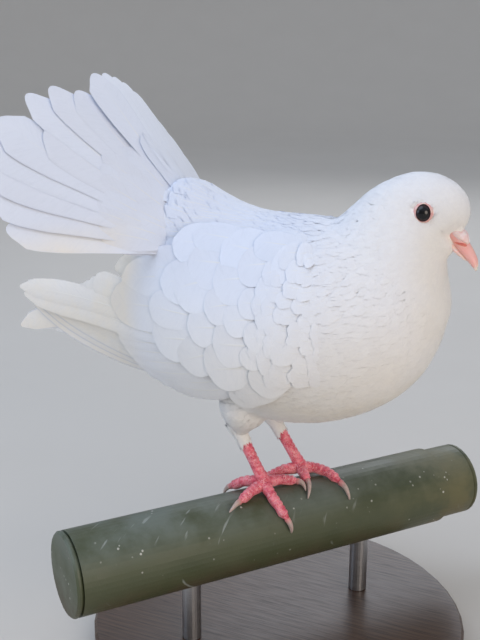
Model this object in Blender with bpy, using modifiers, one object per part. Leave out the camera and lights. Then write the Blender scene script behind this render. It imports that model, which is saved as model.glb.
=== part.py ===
"""A life-size fantail pigeon standing on a cut length of round rail, held by a plain display stand.

Metres, +Z up. The origin is the middle of the stand's underside, below the middle of the rail.
The bird faces +X, its left side is +Y, and the plane y = 0 is its median plane. The tables
below are in millimetres and pass through MM.
"""

import math
import random

import bmesh
import bpy
import numpy as np
from mathutils import Matrix, Vector

MM = 0.001
GAP = 0.3 * MM  # between pieces that meet
WING_CLEARANCE = 2.4 * MM  # between the tail and the wings' smooth form

# The rail that the bird grips, a 42.4 mm tube, and the stand below it.
RAIL_RADIUS = 21.2 * MM
RAIL_AXIS_HEIGHT = 66 * MM
RAIL_TURN = math.radians(52.6)  # from the bird's heading, seen from above
RAIL_NEAR_END = -116 * MM  # along the rail from the stand's middle
RAIL_STEP = 97 * MM  # where the rail's thinner end piece starts
RAIL_FAR_END = 116 * MM
RAIL_STEP_RADIUS = 19.8 * MM
CAP_THICKNESS = 3 * MM
BASE_RADIUS = 100 * MM
BASE_THICKNESS = 12 * MM
ROD_RADIUS = 5 * MM
ROD_PLACES = (-52 * MM, 52 * MM)

RAIL_ALONG = Vector((math.cos(RAIL_TURN), math.sin(RAIL_TURN), 0))
RAIL_ACROSS = Vector((math.sin(RAIL_TURN), -math.cos(RAIL_TURN), 0))

# Torso: x, top, underside, half width.
TORSO = (
    (-73, 228, 202, 8),
    (-67, 240, 187, 17),
    (-58, 246, 171, 25),
    (-48, 246.5, 155, 31),
    (-34, 239.5, 139, 37),
    (-18, 234, 130, 44),
    (0, 232.5, 127.5, 48.5),
    (20, 232.5, 129, 50),
    (40, 231, 135, 48),
    (55, 228, 143, 42.5),
    (67, 223, 153, 35),
    (75, 217, 164, 27),
    (80.5, 208, 178, 17),
    (83.5, 198, 190, 6),
)
# Neck and back of the head: height, front, back, half width.
NECK = (
    (196, 80, 8, 40),
    (208, 81, 12, 36),
    (218, 80, 18, 30),
    (227, 79, 24, 24.5),
    (235, 79, 31, 19.5),
    (242, 78, 38, 16),
    (248, 74, 44, 12.5),
    (253, 68, 53, 7),
)
SKULL_CENTRE = (67.4, 0, 239)
SKULL_RADII = (22.7, 14, 17.9)
CHEEK_CENTRE = (72.5, 0, 230)
CHEEK_RADII = (14.5, 11.5, 12)
CHIN_CENTRE = (79, 0, 224)
CHIN_RADII = (7.2, 6.5, 5)
HEAD_TURN = math.radians(10)  # to the bird's left
HEAD_PIVOT = Vector((60, 0, 0)) * MM
TURN_FROM = 212 * MM
TURN_WHOLE = 238 * MM
BEHIND_TURN = 5 * MM  # nothing behind this turns with the head
NAPE = 32 * MM

BODY_VOXEL = 2 * MM
BODY_SMOOTHING = 10
TORSO_TRIANGLES = 1750  # of the whole body, of which the torso keeps about two thirds
HEAD_TRIANGLES = 4400
NECK_CUT = ((18, 0, 236), (84, 0, 204))  # from the nape to the foot of the throat
HEAD_CUT = ((43, 0, 250), (80, 0, 217))  # from behind the crown to the chin

# Eyes and lids, in the head's own place before it turns.
EYE_PLACE = (69.4, 13.5, 240)  # on the face of the skull
EYE_RADIUS = 4.4
EYE_DEPTH = 2.0  # of the eyeball's middle below that face
LID_RADIUS = 4.5
LID_RISE = -0.05
LID_THICKNESS = (0.95, 0.65)  # of the upper and of the lower lid

# Bill: distance along it, upper edge, lower edge, half width.
BILL_ROOT = (84.5, 0, 227)
BILL_SLOPE = math.radians(-50)
UPPER_BILL = (
    (-3, 3.6, -2.5, 4.2),
    (0, 3.6, -2.7, 4.0),
    (4, 3.4, -2.6, 3.6),
    (8, 3.2, -2.1, 3.1),
    (11, 2.8, -1.7, 2.6),
    (13.5, 2.1, -1.5, 2.0),
    (15.5, 0.9, -1.4, 1.3),
    (16.9, -0.5, -1.5, 0.5),
)
LOWER_BILL = (
    (-3, -2.9, -5.0, 3.7),
    (2, -3.0, -4.7, 3.5),
    (5, -2.8, -4.0, 2.9),
    (7.5, -2.5, -3.4, 2.2),
    (9.5, -2.3, -2.9, 1.4),
    (10.8, -2.2, -2.6, 0.7),
)
CERE = (
    (-1.5, 4.5, 2.6),
    (0.5, 4.7, 3.0),
    (3.5, 4.2, 2.7),
    (6.0, 3.6, 1.8),
)
# Each half of the cere swells over its nostril: place along, across and above the bill, and radii.
CERE_BULB = ((2.0, 2.0, 3.0), (3.2, 1.9, 1.6))
NOSTRIL = ((3.4, 3.7, 1.6), (1.9, 1.0, 0.38))
GAPE = (-2.5, 6.0)  # the mouth's line runs this far along the bill, from behind its root
GAPE_DROP = -2.85
GAPE_OPENING = 0.5

# Folded wing, as the side view gives it: x, lower edge, upper edge, and the half width, middle
# height and half height of the oval that its outer face follows, then its thickness.
WING = (
    (-150, 157, 189, 24, 184, 60, 0.9),
    (-130, 162, 191, 25, 184, 60, 1.4),
    (-112, 160, 190, 27, 184, 60, 2.0),
    (-92, 155, 196, 31, 184, 58, 2.6),
    (-70, 151, 208, 37, 184, 56, 3.2),
    (-50, 146, 221, 43, 184, 55, 4.2),
    (-30, 144, 229.5, 48.5, 182, 55, 5.5),
    (-10, 142, 232, 52.2, 181, 54.5, 6.5),
    (8, 144, 232.5, 53.5, 181, 53.8, 7),
    (25, 151, 231, 52.5, 182, 52.3, 7),
    (36, 161, 227, 50.4, 183.5, 49.5, 6),
    (43, 177, 216, 48.8, 184, 46.5, 3),
)
WING_ACROSS = 8
LEFT_TIP_DROP = (11, 55, 110)  # how far the left wing's tip hangs lower, and where that starts and ends
WING_CORE_END = -66  # behind this the wing is feathers alone
WING_CORE_SUNK = 3.2  # how deep the core lies below the feathers there
TORSO_BITE = 6  # how far the core is modelled into the torso before it is cut clear

# Wing feathers, each from its root through its middle to its tip, as (x, height) in the side view,
# then half width and depth below the wing's face. The outermost primary is the deepest.
PRIMARIES = (
    ((-50, 172), (-100, 174), (-150, 157), 7.5, 6.6),
    ((-40, 153.5), (-90, 155), (-142.5, 182.5), 7.5, 5.75),
    ((-40, 158), (-88, 163.5), (-140.5, 188.5), 7.5, 4.9),
    ((-40, 163), (-86, 170.5), (-127, 188.5), 7.5, 4.05),
    ((-40, 169), (-84, 176), (-114, 187.5), 7.5, 3.2),
    ((-40, 176), (-80, 183.5), (-103, 190), 7.5, 2.4),
    ((-40, 186), (-74, 191.5), (-93, 193), 8.0, 1.7),
)
SECONDARIES = (
    ((-6, 155), (-28, 148), (-50, 147), 7.5, 1.6),
    ((-12, 162), (-40, 153.5), (-62, 151.5), 7.5, 1.6),
    ((-18, 170), (-48, 162.5), (-71, 160.5), 7.5, 1.6),
    ((-22, 178), (-52, 171), (-77, 168.5), 7.5, 1.6),
    ((-26, 187), (-54, 180), (-80, 177), 7.5, 1.6),
)
TERTIALS = (
    ((-16, 192), (-44, 187), (-75, 183), 11.0, 0.5),
    ((-14, 205), (-42, 203), (-72, 198.5), 11.0, 0.3),
)
# Tiers of coverts: the line that their tips follow, their number, length, half width and depth.
COVERT_TIERS = (
    (((-2, 152), (-20, 161), (-34, 172), (-45, 186), (-50, 201)), 6, 32, 8.0, 0.2),
    (((17, 157), (2, 167), (-9, 178), (-19, 191), (-24, 205)), 6, 26, 7.6, -0.9),
)
SCAPULARS = (((-58, 209), (-45, 217)), 2, 40, 8.0, -0.9)
WING_VANE_TILT = 0.7  # how far a feather's upper edge dips below its own middle
VANE_THICKNESS = 0.5
# How a vane's half width runs from root to tip.
PRIMARY_STEPS = ((0.1, 0.8), (0.5, 1.0), (0.88, 0.9), (0.97, 0.6), (1.0, 0.2))
VANE_STEPS = ((0.2, 0.7), (0.6, 1.0), (0.88, 0.88), (1.0, 0.42))

# Tail fan: the middle feather rises at TAIL_RISE and the outer ones lean back by TAIL_LEAN.
TAIL_ROOT = (-38, 0, 212)
TAIL_ROOT_SPREAD = 13
TAIL_ROOT_DROP = 3
TAIL_RISE = math.radians(51)
TAIL_LEAN = math.radians(27)
# Each tail feather's turn from the middle of the fan, in degrees, its length, and its width as a
# share of the widest.
RECTRICES = (
    (-72.5, 100.5, 0.66), (-61, 112, 1), (-53, 115, 1), (-45.5, 117, 1), (-38.5, 119, 1), (-31.5, 98.5, 1),
    (-25, 116, 0.74), (-17.5, 111.5, 0.76), (-11, 103, 0.8), (-1, 108, 1), (7, 110, 1), (15, 112, 1),
    (22.5, 114, 1), (30.5, 115, 1), (38.5, 115.5, 1), (46.5, 114.5, 1), (54, 112.5, 1), (61, 106, 1),
)
TAIL_PAD = 52  # how far the coverts reach from the root
TAIL_PAD_THICKNESS = 10
TAIL_PAD_SPREAD = math.radians(68)
RECTRIX_HALF_WIDTH = 13.5
RECTRIX_TILT = math.radians(8)
RECTRIX_THICKNESS = 0.8
# How a tail feather's half width runs from root to tip.
RECTRIX_STEPS = ((0.3, 0.4), (0.55, 0.72), (0.82, 1.0), (0.95, 0.88), (1.0, 0.45))
SEED = 7

# Legs: the hub is the ball of the foot; angles go round the rail from its top, distances along it.
LEGS = {
    "right": {"hub": (5, -11, 5.2), "hock": (-17.3, -13.5, 119.4), "hip": (-12, -17, 142)},
    "left": {"hub": (-12, 16, 5.8), "hock": (-9.3, 14.4, 116.2), "hip": (-2, 19, 143)},
}
SHANK_RADII = (3.5, 2.9, 2.75, 2.9, 3.2)
THIGH_RADII = (3.5, 6.2, 10.5, 13.5, 13)
HUB_RADIUS = 4.3
TOE_RADII = (2.9, 2.6, 2.4, 2.1)
SCUTE_LIFTS = (0.1, 0.5)  # of a scute over the skin, where it starts and where it ends
SHANK_SCUTES = 8
TOE_SCUTE_LENGTH = 4.0
CLAW_RADII = (1.6, 1.3, 0.9, 0.3)
# Each toe: angle, distance along the rail, height over it, from the hub's side to the claw's root,
# then the claw to its tip.
TOES = {
    "right": {
        "middle": (((5, -11, 5.0), (22, -11.3, 3.6), (42, -9.8, 3.0), (58, -7.4, 2.6)),
                   ((58, -7.4, 2.6), (65, -6.5, 3.0), (72, -5.8, 2.2), (77, -5.4, 0.9))),
        "outer": (((5, -11, 5.0), (9, -17, 3.7), (15, -23, 3.1), (22, -28.5, 2.6)),
                  ((22, -28.5, 2.6), (25, -31.2, 2.9), (28.5, -33.8, 2.1), (31, -35.8, 0.9))),
        "inner": (((5, -11, 5.0), (1, -4, 3.8), (3, 3, 3.1), (10, 8, 2.6)),
                  ((10, 8, 2.6), (15, 9.4, 2.9), (21, 10, 2.1), (26, 10, 0.9))),
        "hind": (((5, -11, 5.0), (-10, -16, 4.4), (-24, -20, 3.2), (-33, -22, 2.6)),
                 ((-33, -22, 2.6), (-39, -23, 2.8), (-46, -24, 2.1), (-52, -24.5, 0.9))),
    },
    "left": {
        "middle": (((-12, 16, 5.6), (-8, 23, 4.0), (8, 27.5, 3.1), (28, 30.3, 2.6)),
                   ((28, 30.3, 2.6), (37, 31.3, 3.0), (46, 32, 2.2), (53, 32.4, 0.9))),
        "outer": (((-12, 16, 5.6), (-26, 22, 3.8), (-42, 28, 3.1), (-56, 32, 2.6)),
                  ((-56, 32, 2.6), (-63, 33.4, 3.0), (-70, 34.4, 2.2), (-75, 35, 0.9))),
        "inner": (((-12, 16, 5.6), (-4, 14.6, 4.4), (6, 13.8, 3.3), (14, 13.4, 2.8)),
                  ((14, 13.4, 2.8), (22, 12.4, 3.2), (31, 10.6, 2.4), (38, 9, 0.9))),
        "hind": (((-12, 16, 5.6), (-18, 7, 5.2), (-21, 0, 3.6), (-20, -5, 2.8)),
                 ((-20, -5, 2.8), (-19.5, -8, 2.9), (-19, -11, 2.1), (-18.5, -13, 0.9))),
    },
}

FINISHES = {
    # name: colour, roughness, metallic
    "plumage": ((0.86, 0.87, 0.90, 1), 0.7, 0),
    "flight_feathers": ((0.84, 0.86, 0.91, 1), 0.6, 0),
    "bill_horn": ((0.80, 0.47, 0.44, 1), 0.4, 0),
    "cere_skin": ((0.83, 0.62, 0.60, 1), 0.6, 0),
    "eye_gloss": ((0.03, 0.012, 0.01, 1), 0.05, 0),
    "leg_scales": ((0.62, 0.12, 0.14, 1), 0.5, 0),
    "claw_horn": ((0.66, 0.53, 0.47, 1), 0.4, 0),
    "rail_paint": ((0.075, 0.11, 0.075, 1), 0.45, 0),
    "stand_metal": ((0.25, 0.25, 0.26, 1), 0.4, 1),
    "stand_base": ((0.12, 0.12, 0.12, 1), 0.5, 0),
}


def mm(point):
    return Vector(point) * MM


def table_at(table, where):
    """The columns of a table at a value of its first column, on smooth curves through the rows."""
    knots = np.array([row[0] for row in table], float)
    values = np.array([row[1:] for row in table], float)
    slopes = np.gradient(values, knots, axis=0)
    where = min(max(where, knots[0]), knots[-1])
    i = min(max(int(np.searchsorted(knots, where)) - 1, 0), len(knots) - 2)
    span = knots[i + 1] - knots[i]
    t = (where - knots[i]) / span
    ends = (2 * t**3 - 3 * t**2 + 1) * values[i] + (3 * t**2 - 2 * t**3) * values[i + 1]
    bends = (t**3 - 2 * t**2 + t) * slopes[i] + (t**3 - t**2) * slopes[i + 1]
    return ends + bends * span


def smooth_step(value, low, high):
    t = min(max((value - low) / (high - low), 0), 1)
    return t * t * (3 - 2 * t)


def turned_with_head(point):
    """A point of the neck or head after the head's turn, which the neck takes up on its height."""
    share = smooth_step(point.z, TURN_FROM, TURN_WHOLE) * smooth_step(point.x, BEHIND_TURN, NAPE)
    turn = Matrix.Rotation(HEAD_TURN * share, 3, "Z")
    return HEAD_PIVOT + turn @ (point - HEAD_PIVOT)


def rail_point(angle, along, height):
    """A point over the rail: degrees round it from its top, millimetres along it and above it."""
    turn = math.radians(angle)
    out = RAIL_ACROSS * math.sin(turn) + Vector((0, 0, 1)) * math.cos(turn)
    axis = Vector((0, 0, RAIL_AXIS_HEIGHT)) + RAIL_ALONG * along * MM
    return axis + out * (RAIL_RADIUS + height * MM)


def ring_loft(bm, rings):
    """A closed surface through rings of points, with a flat fan over each end."""
    loops = [[bm.verts.new(point) for point in ring] for ring in rings]
    for near, far in zip(loops, loops[1:]):
        for i in range(len(near)):
            j = (i + 1) % len(near)
            bm.faces.new((near[i], near[j], far[j], far[i]))
    bm.faces.new(loops[0][::-1])
    bm.faces.new(loops[-1])
    bmesh.ops.recalc_face_normals(bm, faces=bm.faces)


def oval(centre, across, up, half_across, half_up, sides):
    steps = [2 * math.pi * i / sides for i in range(sides)]
    return [centre + across * half_across * math.cos(a) + up * half_up * math.sin(a) for a in steps]


def tube(bm, path, radii, sides=8, flatness=1.0):
    """A tapered tube along a path, its rings turned with the path and not about it."""
    side = None
    rings = []
    for i, point in enumerate(path):
        ahead = path[min(i + 1, len(path) - 1)] - path[max(i - 1, 0)]
        ahead.normalize()
        if side is None:
            side = ahead.orthogonal()
        side = (side - ahead * side.dot(ahead)).normalized()
        rings.append(oval(point, side, ahead.cross(side), radii[i], radii[i] * flatness, sides))
    ring_loft(bm, rings)


def scaled_tube(bm, path, radii, top, count, sides=8):
    """A tapered tube with a row of raised plates on the side that faces the top direction."""
    rings = []
    places = np.linspace(0, len(path) - 1, count + 1)
    table = [(i, *point, radius) for i, (point, radius) in enumerate(zip(path, radii))]
    for i in range(count):
        step = places[i + 1] - places[i]
        for where, lift in ((places[i] + 0.04 * step, SCUTE_LIFTS[0]),
                            (places[i + 1] - 0.04 * step, SCUTE_LIFTS[1])):
            *point, radius = table_at(table, where)
            ahead = Vector(table_at(table, where + 0.1)[:3]) - Vector(table_at(table, where - 0.1)[:3])
            ahead.normalize()
            up = (top - ahead * top.dot(ahead)).normalized()
            side = ahead.cross(up)
            ring = []
            for k in range(sides):
                angle = 2 * math.pi * k / sides
                raised = radius + lift * MM * smooth_step(math.cos(angle), -0.1, 0.5)
                ring.append(Vector(point) + (up * math.cos(angle) + side * math.sin(angle)) * raised)
            rings.append(ring)
    ring_loft(bm, rings)


def vane(bm, fronts, backs):
    """A thin closed vane between two like grids of points, split into triangles alike on both."""
    grids = [[[bm.verts.new(point) for point in row] for row in grid] for grid in (fronts, backs)]
    front, back = grids
    last = len(front[0]) - 1
    for near in range(len(front) - 1):
        far = near + 1
        for i in range(last):
            bm.faces.new((front[near][i], front[near][i + 1], front[far][i + 1]))
            bm.faces.new((front[near][i], front[far][i + 1], front[far][i]))
            bm.faces.new((back[near][i], back[far][i + 1], back[near][i + 1]))
            bm.faces.new((back[near][i], back[far][i], back[far][i + 1]))
        for edge in (0, last):
            bm.faces.new((front[near][edge], front[far][edge], back[far][edge]))
            bm.faces.new((front[near][edge], back[far][edge], back[near][edge]))
    for end in (0, -1):
        for i in range(last):
            bm.faces.new((front[end][i], front[end][i + 1], back[end][i + 1]))
            bm.faces.new((front[end][i], back[end][i + 1], back[end][i]))
    bmesh.ops.recalc_face_normals(bm, faces=bm.faces)


def fuse(core, pieces):
    """Joins closed pieces to a core by one union and keeps what hangs together."""
    parts = named_collection("to_fuse")
    for i, bm in enumerate(pieces):
        new_object(f"piece_{i}", bm, core.data.materials[0].name, parts)
    add_modifier(core, "BOOLEAN", operand_type="COLLECTION", collection=parts, operation="UNION",
                 solver="MANIFOLD")
    apply_modifiers(core)
    for piece in list(parts.objects):
        bpy.data.objects.remove(piece)
    bpy.data.collections.remove(parts)
    keep_largest(core)


def simplify(target, angle):
    """Merges the nearly flat splits that a union leaves."""
    bm = edit(target)
    bmesh.ops.dissolve_limit(bm, angle_limit=math.radians(angle), verts=bm.verts, edges=bm.edges)
    bmesh.ops.triangulate(bm, faces=bm.faces)
    bm.to_mesh(target.data)
    bm.free()


def finish(name):
    if name in bpy.data.materials:
        return bpy.data.materials[name]
    colour, roughness, metallic = FINISHES[name]
    material = bpy.data.materials.new(name)
    material.use_nodes = True
    shader = material.node_tree.nodes["Principled BSDF"]
    shader.inputs["Base Color"].default_value = colour
    shader.inputs["Roughness"].default_value = roughness
    shader.inputs["Metallic"].default_value = metallic
    material.diffuse_color = colour
    return material


def named_collection(name):
    collection = bpy.data.collections.new(name)
    bpy.context.scene.collection.children.link(collection)
    return collection


def new_object(name, bm, material, collection):
    mesh = bpy.data.meshes.new(name)
    bm.to_mesh(mesh)
    bm.free()
    mesh.materials.append(finish(material))
    made = bpy.data.objects.new(name, mesh)
    collection.objects.link(made)
    return made


def add_modifier(target, kind, **settings):
    modifier = target.modifiers.new(kind.title(), kind)
    for key, value in settings.items():
        setattr(modifier, key, value)
    return modifier


def apply_modifiers(target):
    graph = bpy.context.evaluated_depsgraph_get()
    mesh = bpy.data.meshes.new_from_object(target.evaluated_get(graph))
    old = target.data
    target.modifiers.clear()
    target.data = mesh
    bpy.data.meshes.remove(old)
    mesh.name = target.name


def edit(target):
    bm = bmesh.new()
    bm.from_mesh(target.data)
    return bm


def keep_largest(target):
    """Drops every closed surface of a mesh but its largest."""
    bm = edit(target)
    unseen = set(bm.faces)
    islands = []
    while unseen:
        island = []
        edge_of = [unseen.pop()]
        while edge_of:
            face = edge_of.pop()
            island.append(face)
            for neighbour in {f for e in face.edges for f in e.link_faces}:
                if neighbour in unseen:
                    unseen.remove(neighbour)
                    edge_of.append(neighbour)
        islands.append(island)
    islands.sort(key=lambda island: sum(f.calc_area() for f in island))
    for island in islands[:-1]:
        bmesh.ops.delete(bm, geom=island, context="FACES")
    bm.to_mesh(target.data)
    bm.free()


def swollen_copy(target, amount):
    bm = edit(target)
    bmesh.ops.remove_doubles(bm, verts=bm.verts, dist=0.01 * MM)
    bm.normal_update()
    for vertex in bm.verts:
        vertex.co += vertex.normal * amount * vertex.calc_shell_factor()
    mesh = bpy.data.meshes.new("swollen")
    bm.to_mesh(mesh)
    bm.free()
    return bpy.data.objects.new("swollen", mesh)


def clear_of(target, *others, gap=GAP):
    """Cuts a piece clear of its neighbours, by a little more than the gap."""
    for other in others:
        cutter = swollen_copy(other, gap)
        bpy.context.scene.collection.objects.link(cutter)
        add_modifier(target, "BOOLEAN", object=cutter, operation="DIFFERENCE", solver="MANIFOLD")
        apply_modifiers(target)
        bpy.data.objects.remove(cutter)
    keep_largest(target)


def keep_side(bm, point, normal):
    """Keeps what lies on the normal's side of a plane and closes the cut with a flat face."""
    geometry = list(bm.verts) + list(bm.edges) + list(bm.faces)
    bmesh.ops.bisect_plane(bm, geom=geometry, plane_co=point, plane_no=normal, clear_inner=True)
    rim = [edge for edge in bm.edges if edge.is_boundary]
    bmesh.ops.contextual_create(bm, geom=rim)
    bmesh.ops.recalc_face_normals(bm, faces=bm.faces)


def cut_plane(ends, offset):
    """The plane through two points of the median plane, moved by an offset, and its normal."""
    start, end = mm(ends[0]), mm(ends[1])
    along = (end - start).normalized()
    normal = Vector((0, 1, 0)).cross(-along)
    if normal.z < 0:
        normal = -normal
    return start + normal * offset, normal


# The body: torso, neck and head are modelled as one smooth form and then parted.


def torso_rings():
    rings = []
    for x in np.linspace(TORSO[0][0], TORSO[-1][0], 34):
        top, low, half_width = table_at(TORSO, x)
        centre = mm((x, 0, (top + low) / 2))
        rings.append(oval(centre, Vector((0, 1, 0)), Vector((0, 0, 1)),
                          half_width * MM, (top - low) / 2 * MM, 40))
    return rings


def neck_rings():
    rings = []
    for height in np.linspace(NECK[0][0], NECK[-1][0], 20):
        front, back, half_width = table_at(NECK, height)
        centre = mm(((front + back) / 2, 0, height))
        rings.append(oval(centre, Vector((1, 0, 0)), Vector((0, 1, 0)),
                          (front - back) / 2 * MM, half_width * MM, 40))
    return rings


def add_ellipsoid(bm, centre, radii):
    size = Matrix.Translation(mm(centre)) @ Matrix.Diagonal((*mm(radii), 1))
    bmesh.ops.create_uvsphere(bm, u_segments=40, v_segments=24, radius=1, matrix=size)


def whole_body(triangles, collection):
    """The body's smooth closed form at a given fineness, with the head turned."""
    bm = bmesh.new()
    ring_loft(bm, torso_rings())
    ring_loft(bm, neck_rings())
    add_ellipsoid(bm, SKULL_CENTRE, SKULL_RADII)
    add_ellipsoid(bm, CHEEK_CENTRE, CHEEK_RADII)
    add_ellipsoid(bm, CHIN_CENTRE, CHIN_RADII)
    body = new_object("body", bm, "plumage", collection)
    add_modifier(body, "REMESH", mode="VOXEL", voxel_size=BODY_VOXEL)
    add_modifier(body, "SMOOTH", factor=0.5, iterations=BODY_SMOOTHING)
    apply_modifiers(body)
    body.data.calc_loop_triangles()
    share = triangles / len(body.data.loop_triangles)
    add_modifier(body, "DECIMATE", ratio=share)
    apply_modifiers(body)
    for vertex in body.data.vertices:
        vertex.co = turned_with_head(vertex.co)
    return body


def body_part(name, body, planes, collection):
    bm = edit(body)
    for point, normal in planes:
        keep_side(bm, point, normal)
    return new_object(name, bm, "plumage", collection)


def make_body(collection):
    coarse = whole_body(TORSO_TRIANGLES, collection)
    fine = whole_body(HEAD_TRIANGLES, collection)
    below_neck, neck_up = cut_plane(NECK_CUT, -GAP / 2)
    above_torso, _ = cut_plane(NECK_CUT, GAP / 2)
    below_head, head_up = cut_plane(HEAD_CUT, -GAP / 2)
    above_neck, _ = cut_plane(HEAD_CUT, GAP / 2)
    torso = body_part("torso", coarse, [(below_neck, -neck_up)], collection)
    neck = body_part("neck", coarse, [(above_torso, neck_up), (below_head, -head_up)], collection)
    head = body_part("head", fine, [(above_neck, head_up)], collection)
    for body in (coarse, fine):
        bpy.data.objects.remove(body)
    for piece in (torso, neck, head):
        keep_largest(piece)
    return torso, neck, head


# Head: eyes in their sockets, lids, bill and cere.


def eye_frame(side):
    """The middle of an eye and its outward axis, side -1 for the right and 1 for the left."""
    x, y, z = EYE_PLACE
    centre = turned_with_head(mm((x, y * side, z)))
    out = Matrix.Rotation(HEAD_TURN, 3, "Z") @ Vector((0.1, side, 0.06)).normalized()
    return centre, out


def lid_ring(side):
    """The two lids of an eye, as one ring on the face of the head that is thicker above."""
    centre, out = eye_frame(side)
    ahead = Vector((0, 0, 1)).cross(out).normalized()
    up = out.cross(ahead)
    sections = []
    for i in range(18):
        turn = 2 * math.pi * i / 18
        radial = ahead * math.cos(turn) + up * math.sin(turn)
        upper, lower = LID_THICKNESS
        thick = lower + (upper - lower) * (1 + math.sin(turn)) / 2
        middle = centre + (radial * LID_RADIUS + out * LID_RISE) * MM
        sections.append(oval(middle, radial, out, thick * MM, thick * MM, 6))
    bm = bmesh.new()
    loops = [[bm.verts.new(point) for point in section] for section in sections]
    for near, far in zip(loops, loops[1:] + loops[:1]):
        for i in range(6):
            bm.faces.new((near[i], near[i - 5], far[i - 5], far[i]))
    bmesh.ops.recalc_face_normals(bm, faces=bm.faces)
    return bm


def make_eyes(head, collection):
    eyes = []
    for name, side in (("eye_right", -1), ("eye_left", 1)):
        centre, out = eye_frame(side)
        turn = out.to_track_quat("Z", "Y").to_matrix().to_4x4()
        pose = Matrix.Translation(centre - out * EYE_DEPTH * MM) @ turn
        bm = bmesh.new()
        bmesh.ops.create_uvsphere(bm, u_segments=14, v_segments=9, radius=EYE_RADIUS * MM, matrix=pose)
        eyes.append(new_object(name, bm, "eye_gloss", collection))
    fuse(head, [lid_ring(-1), lid_ring(1)])
    clear_of(head, *eyes)
    return eyes


def bill_frame():
    along = Vector((math.cos(BILL_SLOPE), 0, math.sin(BILL_SLOPE)))
    return mm(BILL_ROOT), along, Vector((-along.z, 0, along.x))


def bill_loft(rows, sides):
    root, along, up = bill_frame()
    bm = bmesh.new()
    rings = []
    for distance, upper, lower, half_width in rows:
        centre = root + along * distance * MM + up * (upper + lower) / 2 * MM
        ring = oval(centre, Vector((0, 1, 0)), up, half_width * MM, (upper - lower) / 2 * MM, sides)
        rings.append([turned_with_head(point) for point in ring])
    ring_loft(bm, rings)
    return bm


def bill_ellipsoid(place, radii):
    """A small ellipsoid in the bill's own frame: along it, across it and above it."""
    root, along, up = bill_frame()
    frame = Matrix((along, (0, 1, 0), up)).transposed()
    centre = root + frame @ mm(place)
    bm = bmesh.new()
    bmesh.ops.create_uvsphere(bm, u_segments=8, v_segments=6, radius=1)
    for vertex in bm.verts:
        point = Vector(a * b for a, b in zip(vertex.co, mm(radii)))
        vertex.co = turned_with_head(centre + frame @ point)
    return bm


def gape_slit():
    """The flat space that parts the corners of the mouth in the head."""
    root, along, up = bill_frame()
    bm = bmesh.new()
    bmesh.ops.create_cube(bm, size=1)
    for vertex in bm.verts:
        x, y, z = vertex.co
        point = root + along * (GAPE[0] if x < 0 else GAPE[1]) * MM
        point += Vector((0, y * 24 * MM, 0)) + up * (GAPE_DROP + z * GAPE_OPENING) * MM
        vertex.co = turned_with_head(point)
    return bm


def cut_away(target, pieces):
    for i, bm in enumerate(pieces):
        cutter = new_object(f"cutter_{i}", bm, "plumage", bpy.context.scene.collection)
        add_modifier(target, "BOOLEAN", object=cutter, operation="DIFFERENCE", solver="MANIFOLD")
        apply_modifiers(target)
        bpy.data.objects.remove(cutter)
    keep_largest(target)


def make_bill(head, collection):
    cut_away(head, [gape_slit()])
    upper = new_object("bill_upper", bill_loft(UPPER_BILL, 14), "bill_horn", collection)
    lower = new_object("bill_lower", bill_loft(LOWER_BILL, 14), "bill_horn", collection)
    root, along, up = bill_frame()
    bm = bmesh.new()
    rings = []
    for distance, top, half_width in CERE:
        centre = root + along * distance * MM + up * (top - 1.6) * MM
        ring = oval(centre, Vector((0, 1, 0)), up, half_width * 1.25 * MM, 1.7 * MM, 12)
        rings.append([turned_with_head(point) for point in ring])
    ring_loft(bm, rings)
    cere = new_object("cere", bm, "cere_skin", collection)
    both = ((1, 1, 1), (1, -1, 1))
    bulbs = [[a * b for a, b in zip(CERE_BULB[0], flip)] for flip in both]
    nostrils = [[a * b for a, b in zip(NOSTRIL[0], flip)] for flip in both]
    fuse(cere, [bill_ellipsoid(place, CERE_BULB[1]) for place in bulbs])
    cut_away(cere, [bill_ellipsoid(place, NOSTRIL[1]) for place in nostrils])
    clear_of(cere, upper, head)
    clear_of(upper, head)
    clear_of(lower, upper, head)
    return upper, lower, cere


# Wings: each is a curved shell over the torso's side that runs on behind it to the tips.


def wing_point(side, x, height, depth):
    """A point of the wing, depth below its outer face."""
    _, _, half_width, middle, half_height, _ = table_at(WING, x)
    slope = min(abs(height - middle) / half_height, 0.97) * math.copysign(1, height - middle)
    rise = math.asin(slope)
    out = Vector((0, side * math.cos(rise), math.sin(rise)))
    fall, start, end = LEFT_TIP_DROP
    drop = fall * smooth_step(-x, start, end) if side > 0 else 0
    face = mm((x, side * half_width * math.cos(rise), height - drop))
    return face - out * depth * MM


def wing_shell(side, end, inset, sunk):
    """The wing's smooth form from the shoulder back to a given x, its edges tapered."""
    rings = []
    for x in np.linspace(end, WING[-1][0], 13):
        low, high, _, _, _, thickness = table_at(WING, x)
        bite = TORSO_BITE * smooth_step(x, end, end + 25)
        face = sunk * (1 - smooth_step(x, -50, 36))
        heights = np.linspace(low + inset, high - inset, WING_ACROSS)
        outer = [wing_point(side, x, z, face) for z in heights]
        inner = []
        for i, z in enumerate(heights):
            share = min(i, WING_ACROSS - 1 - i, 2) / 2
            inner.append(wing_point(side, x, z, face + 0.8 + share * (thickness + bite - 0.8)))
        rings.append(outer + inner[::-1])
    bm = bmesh.new()
    ring_loft(bm, rings)
    bmesh.ops.triangulate(bm, faces=bm.faces)
    return bm


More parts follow.
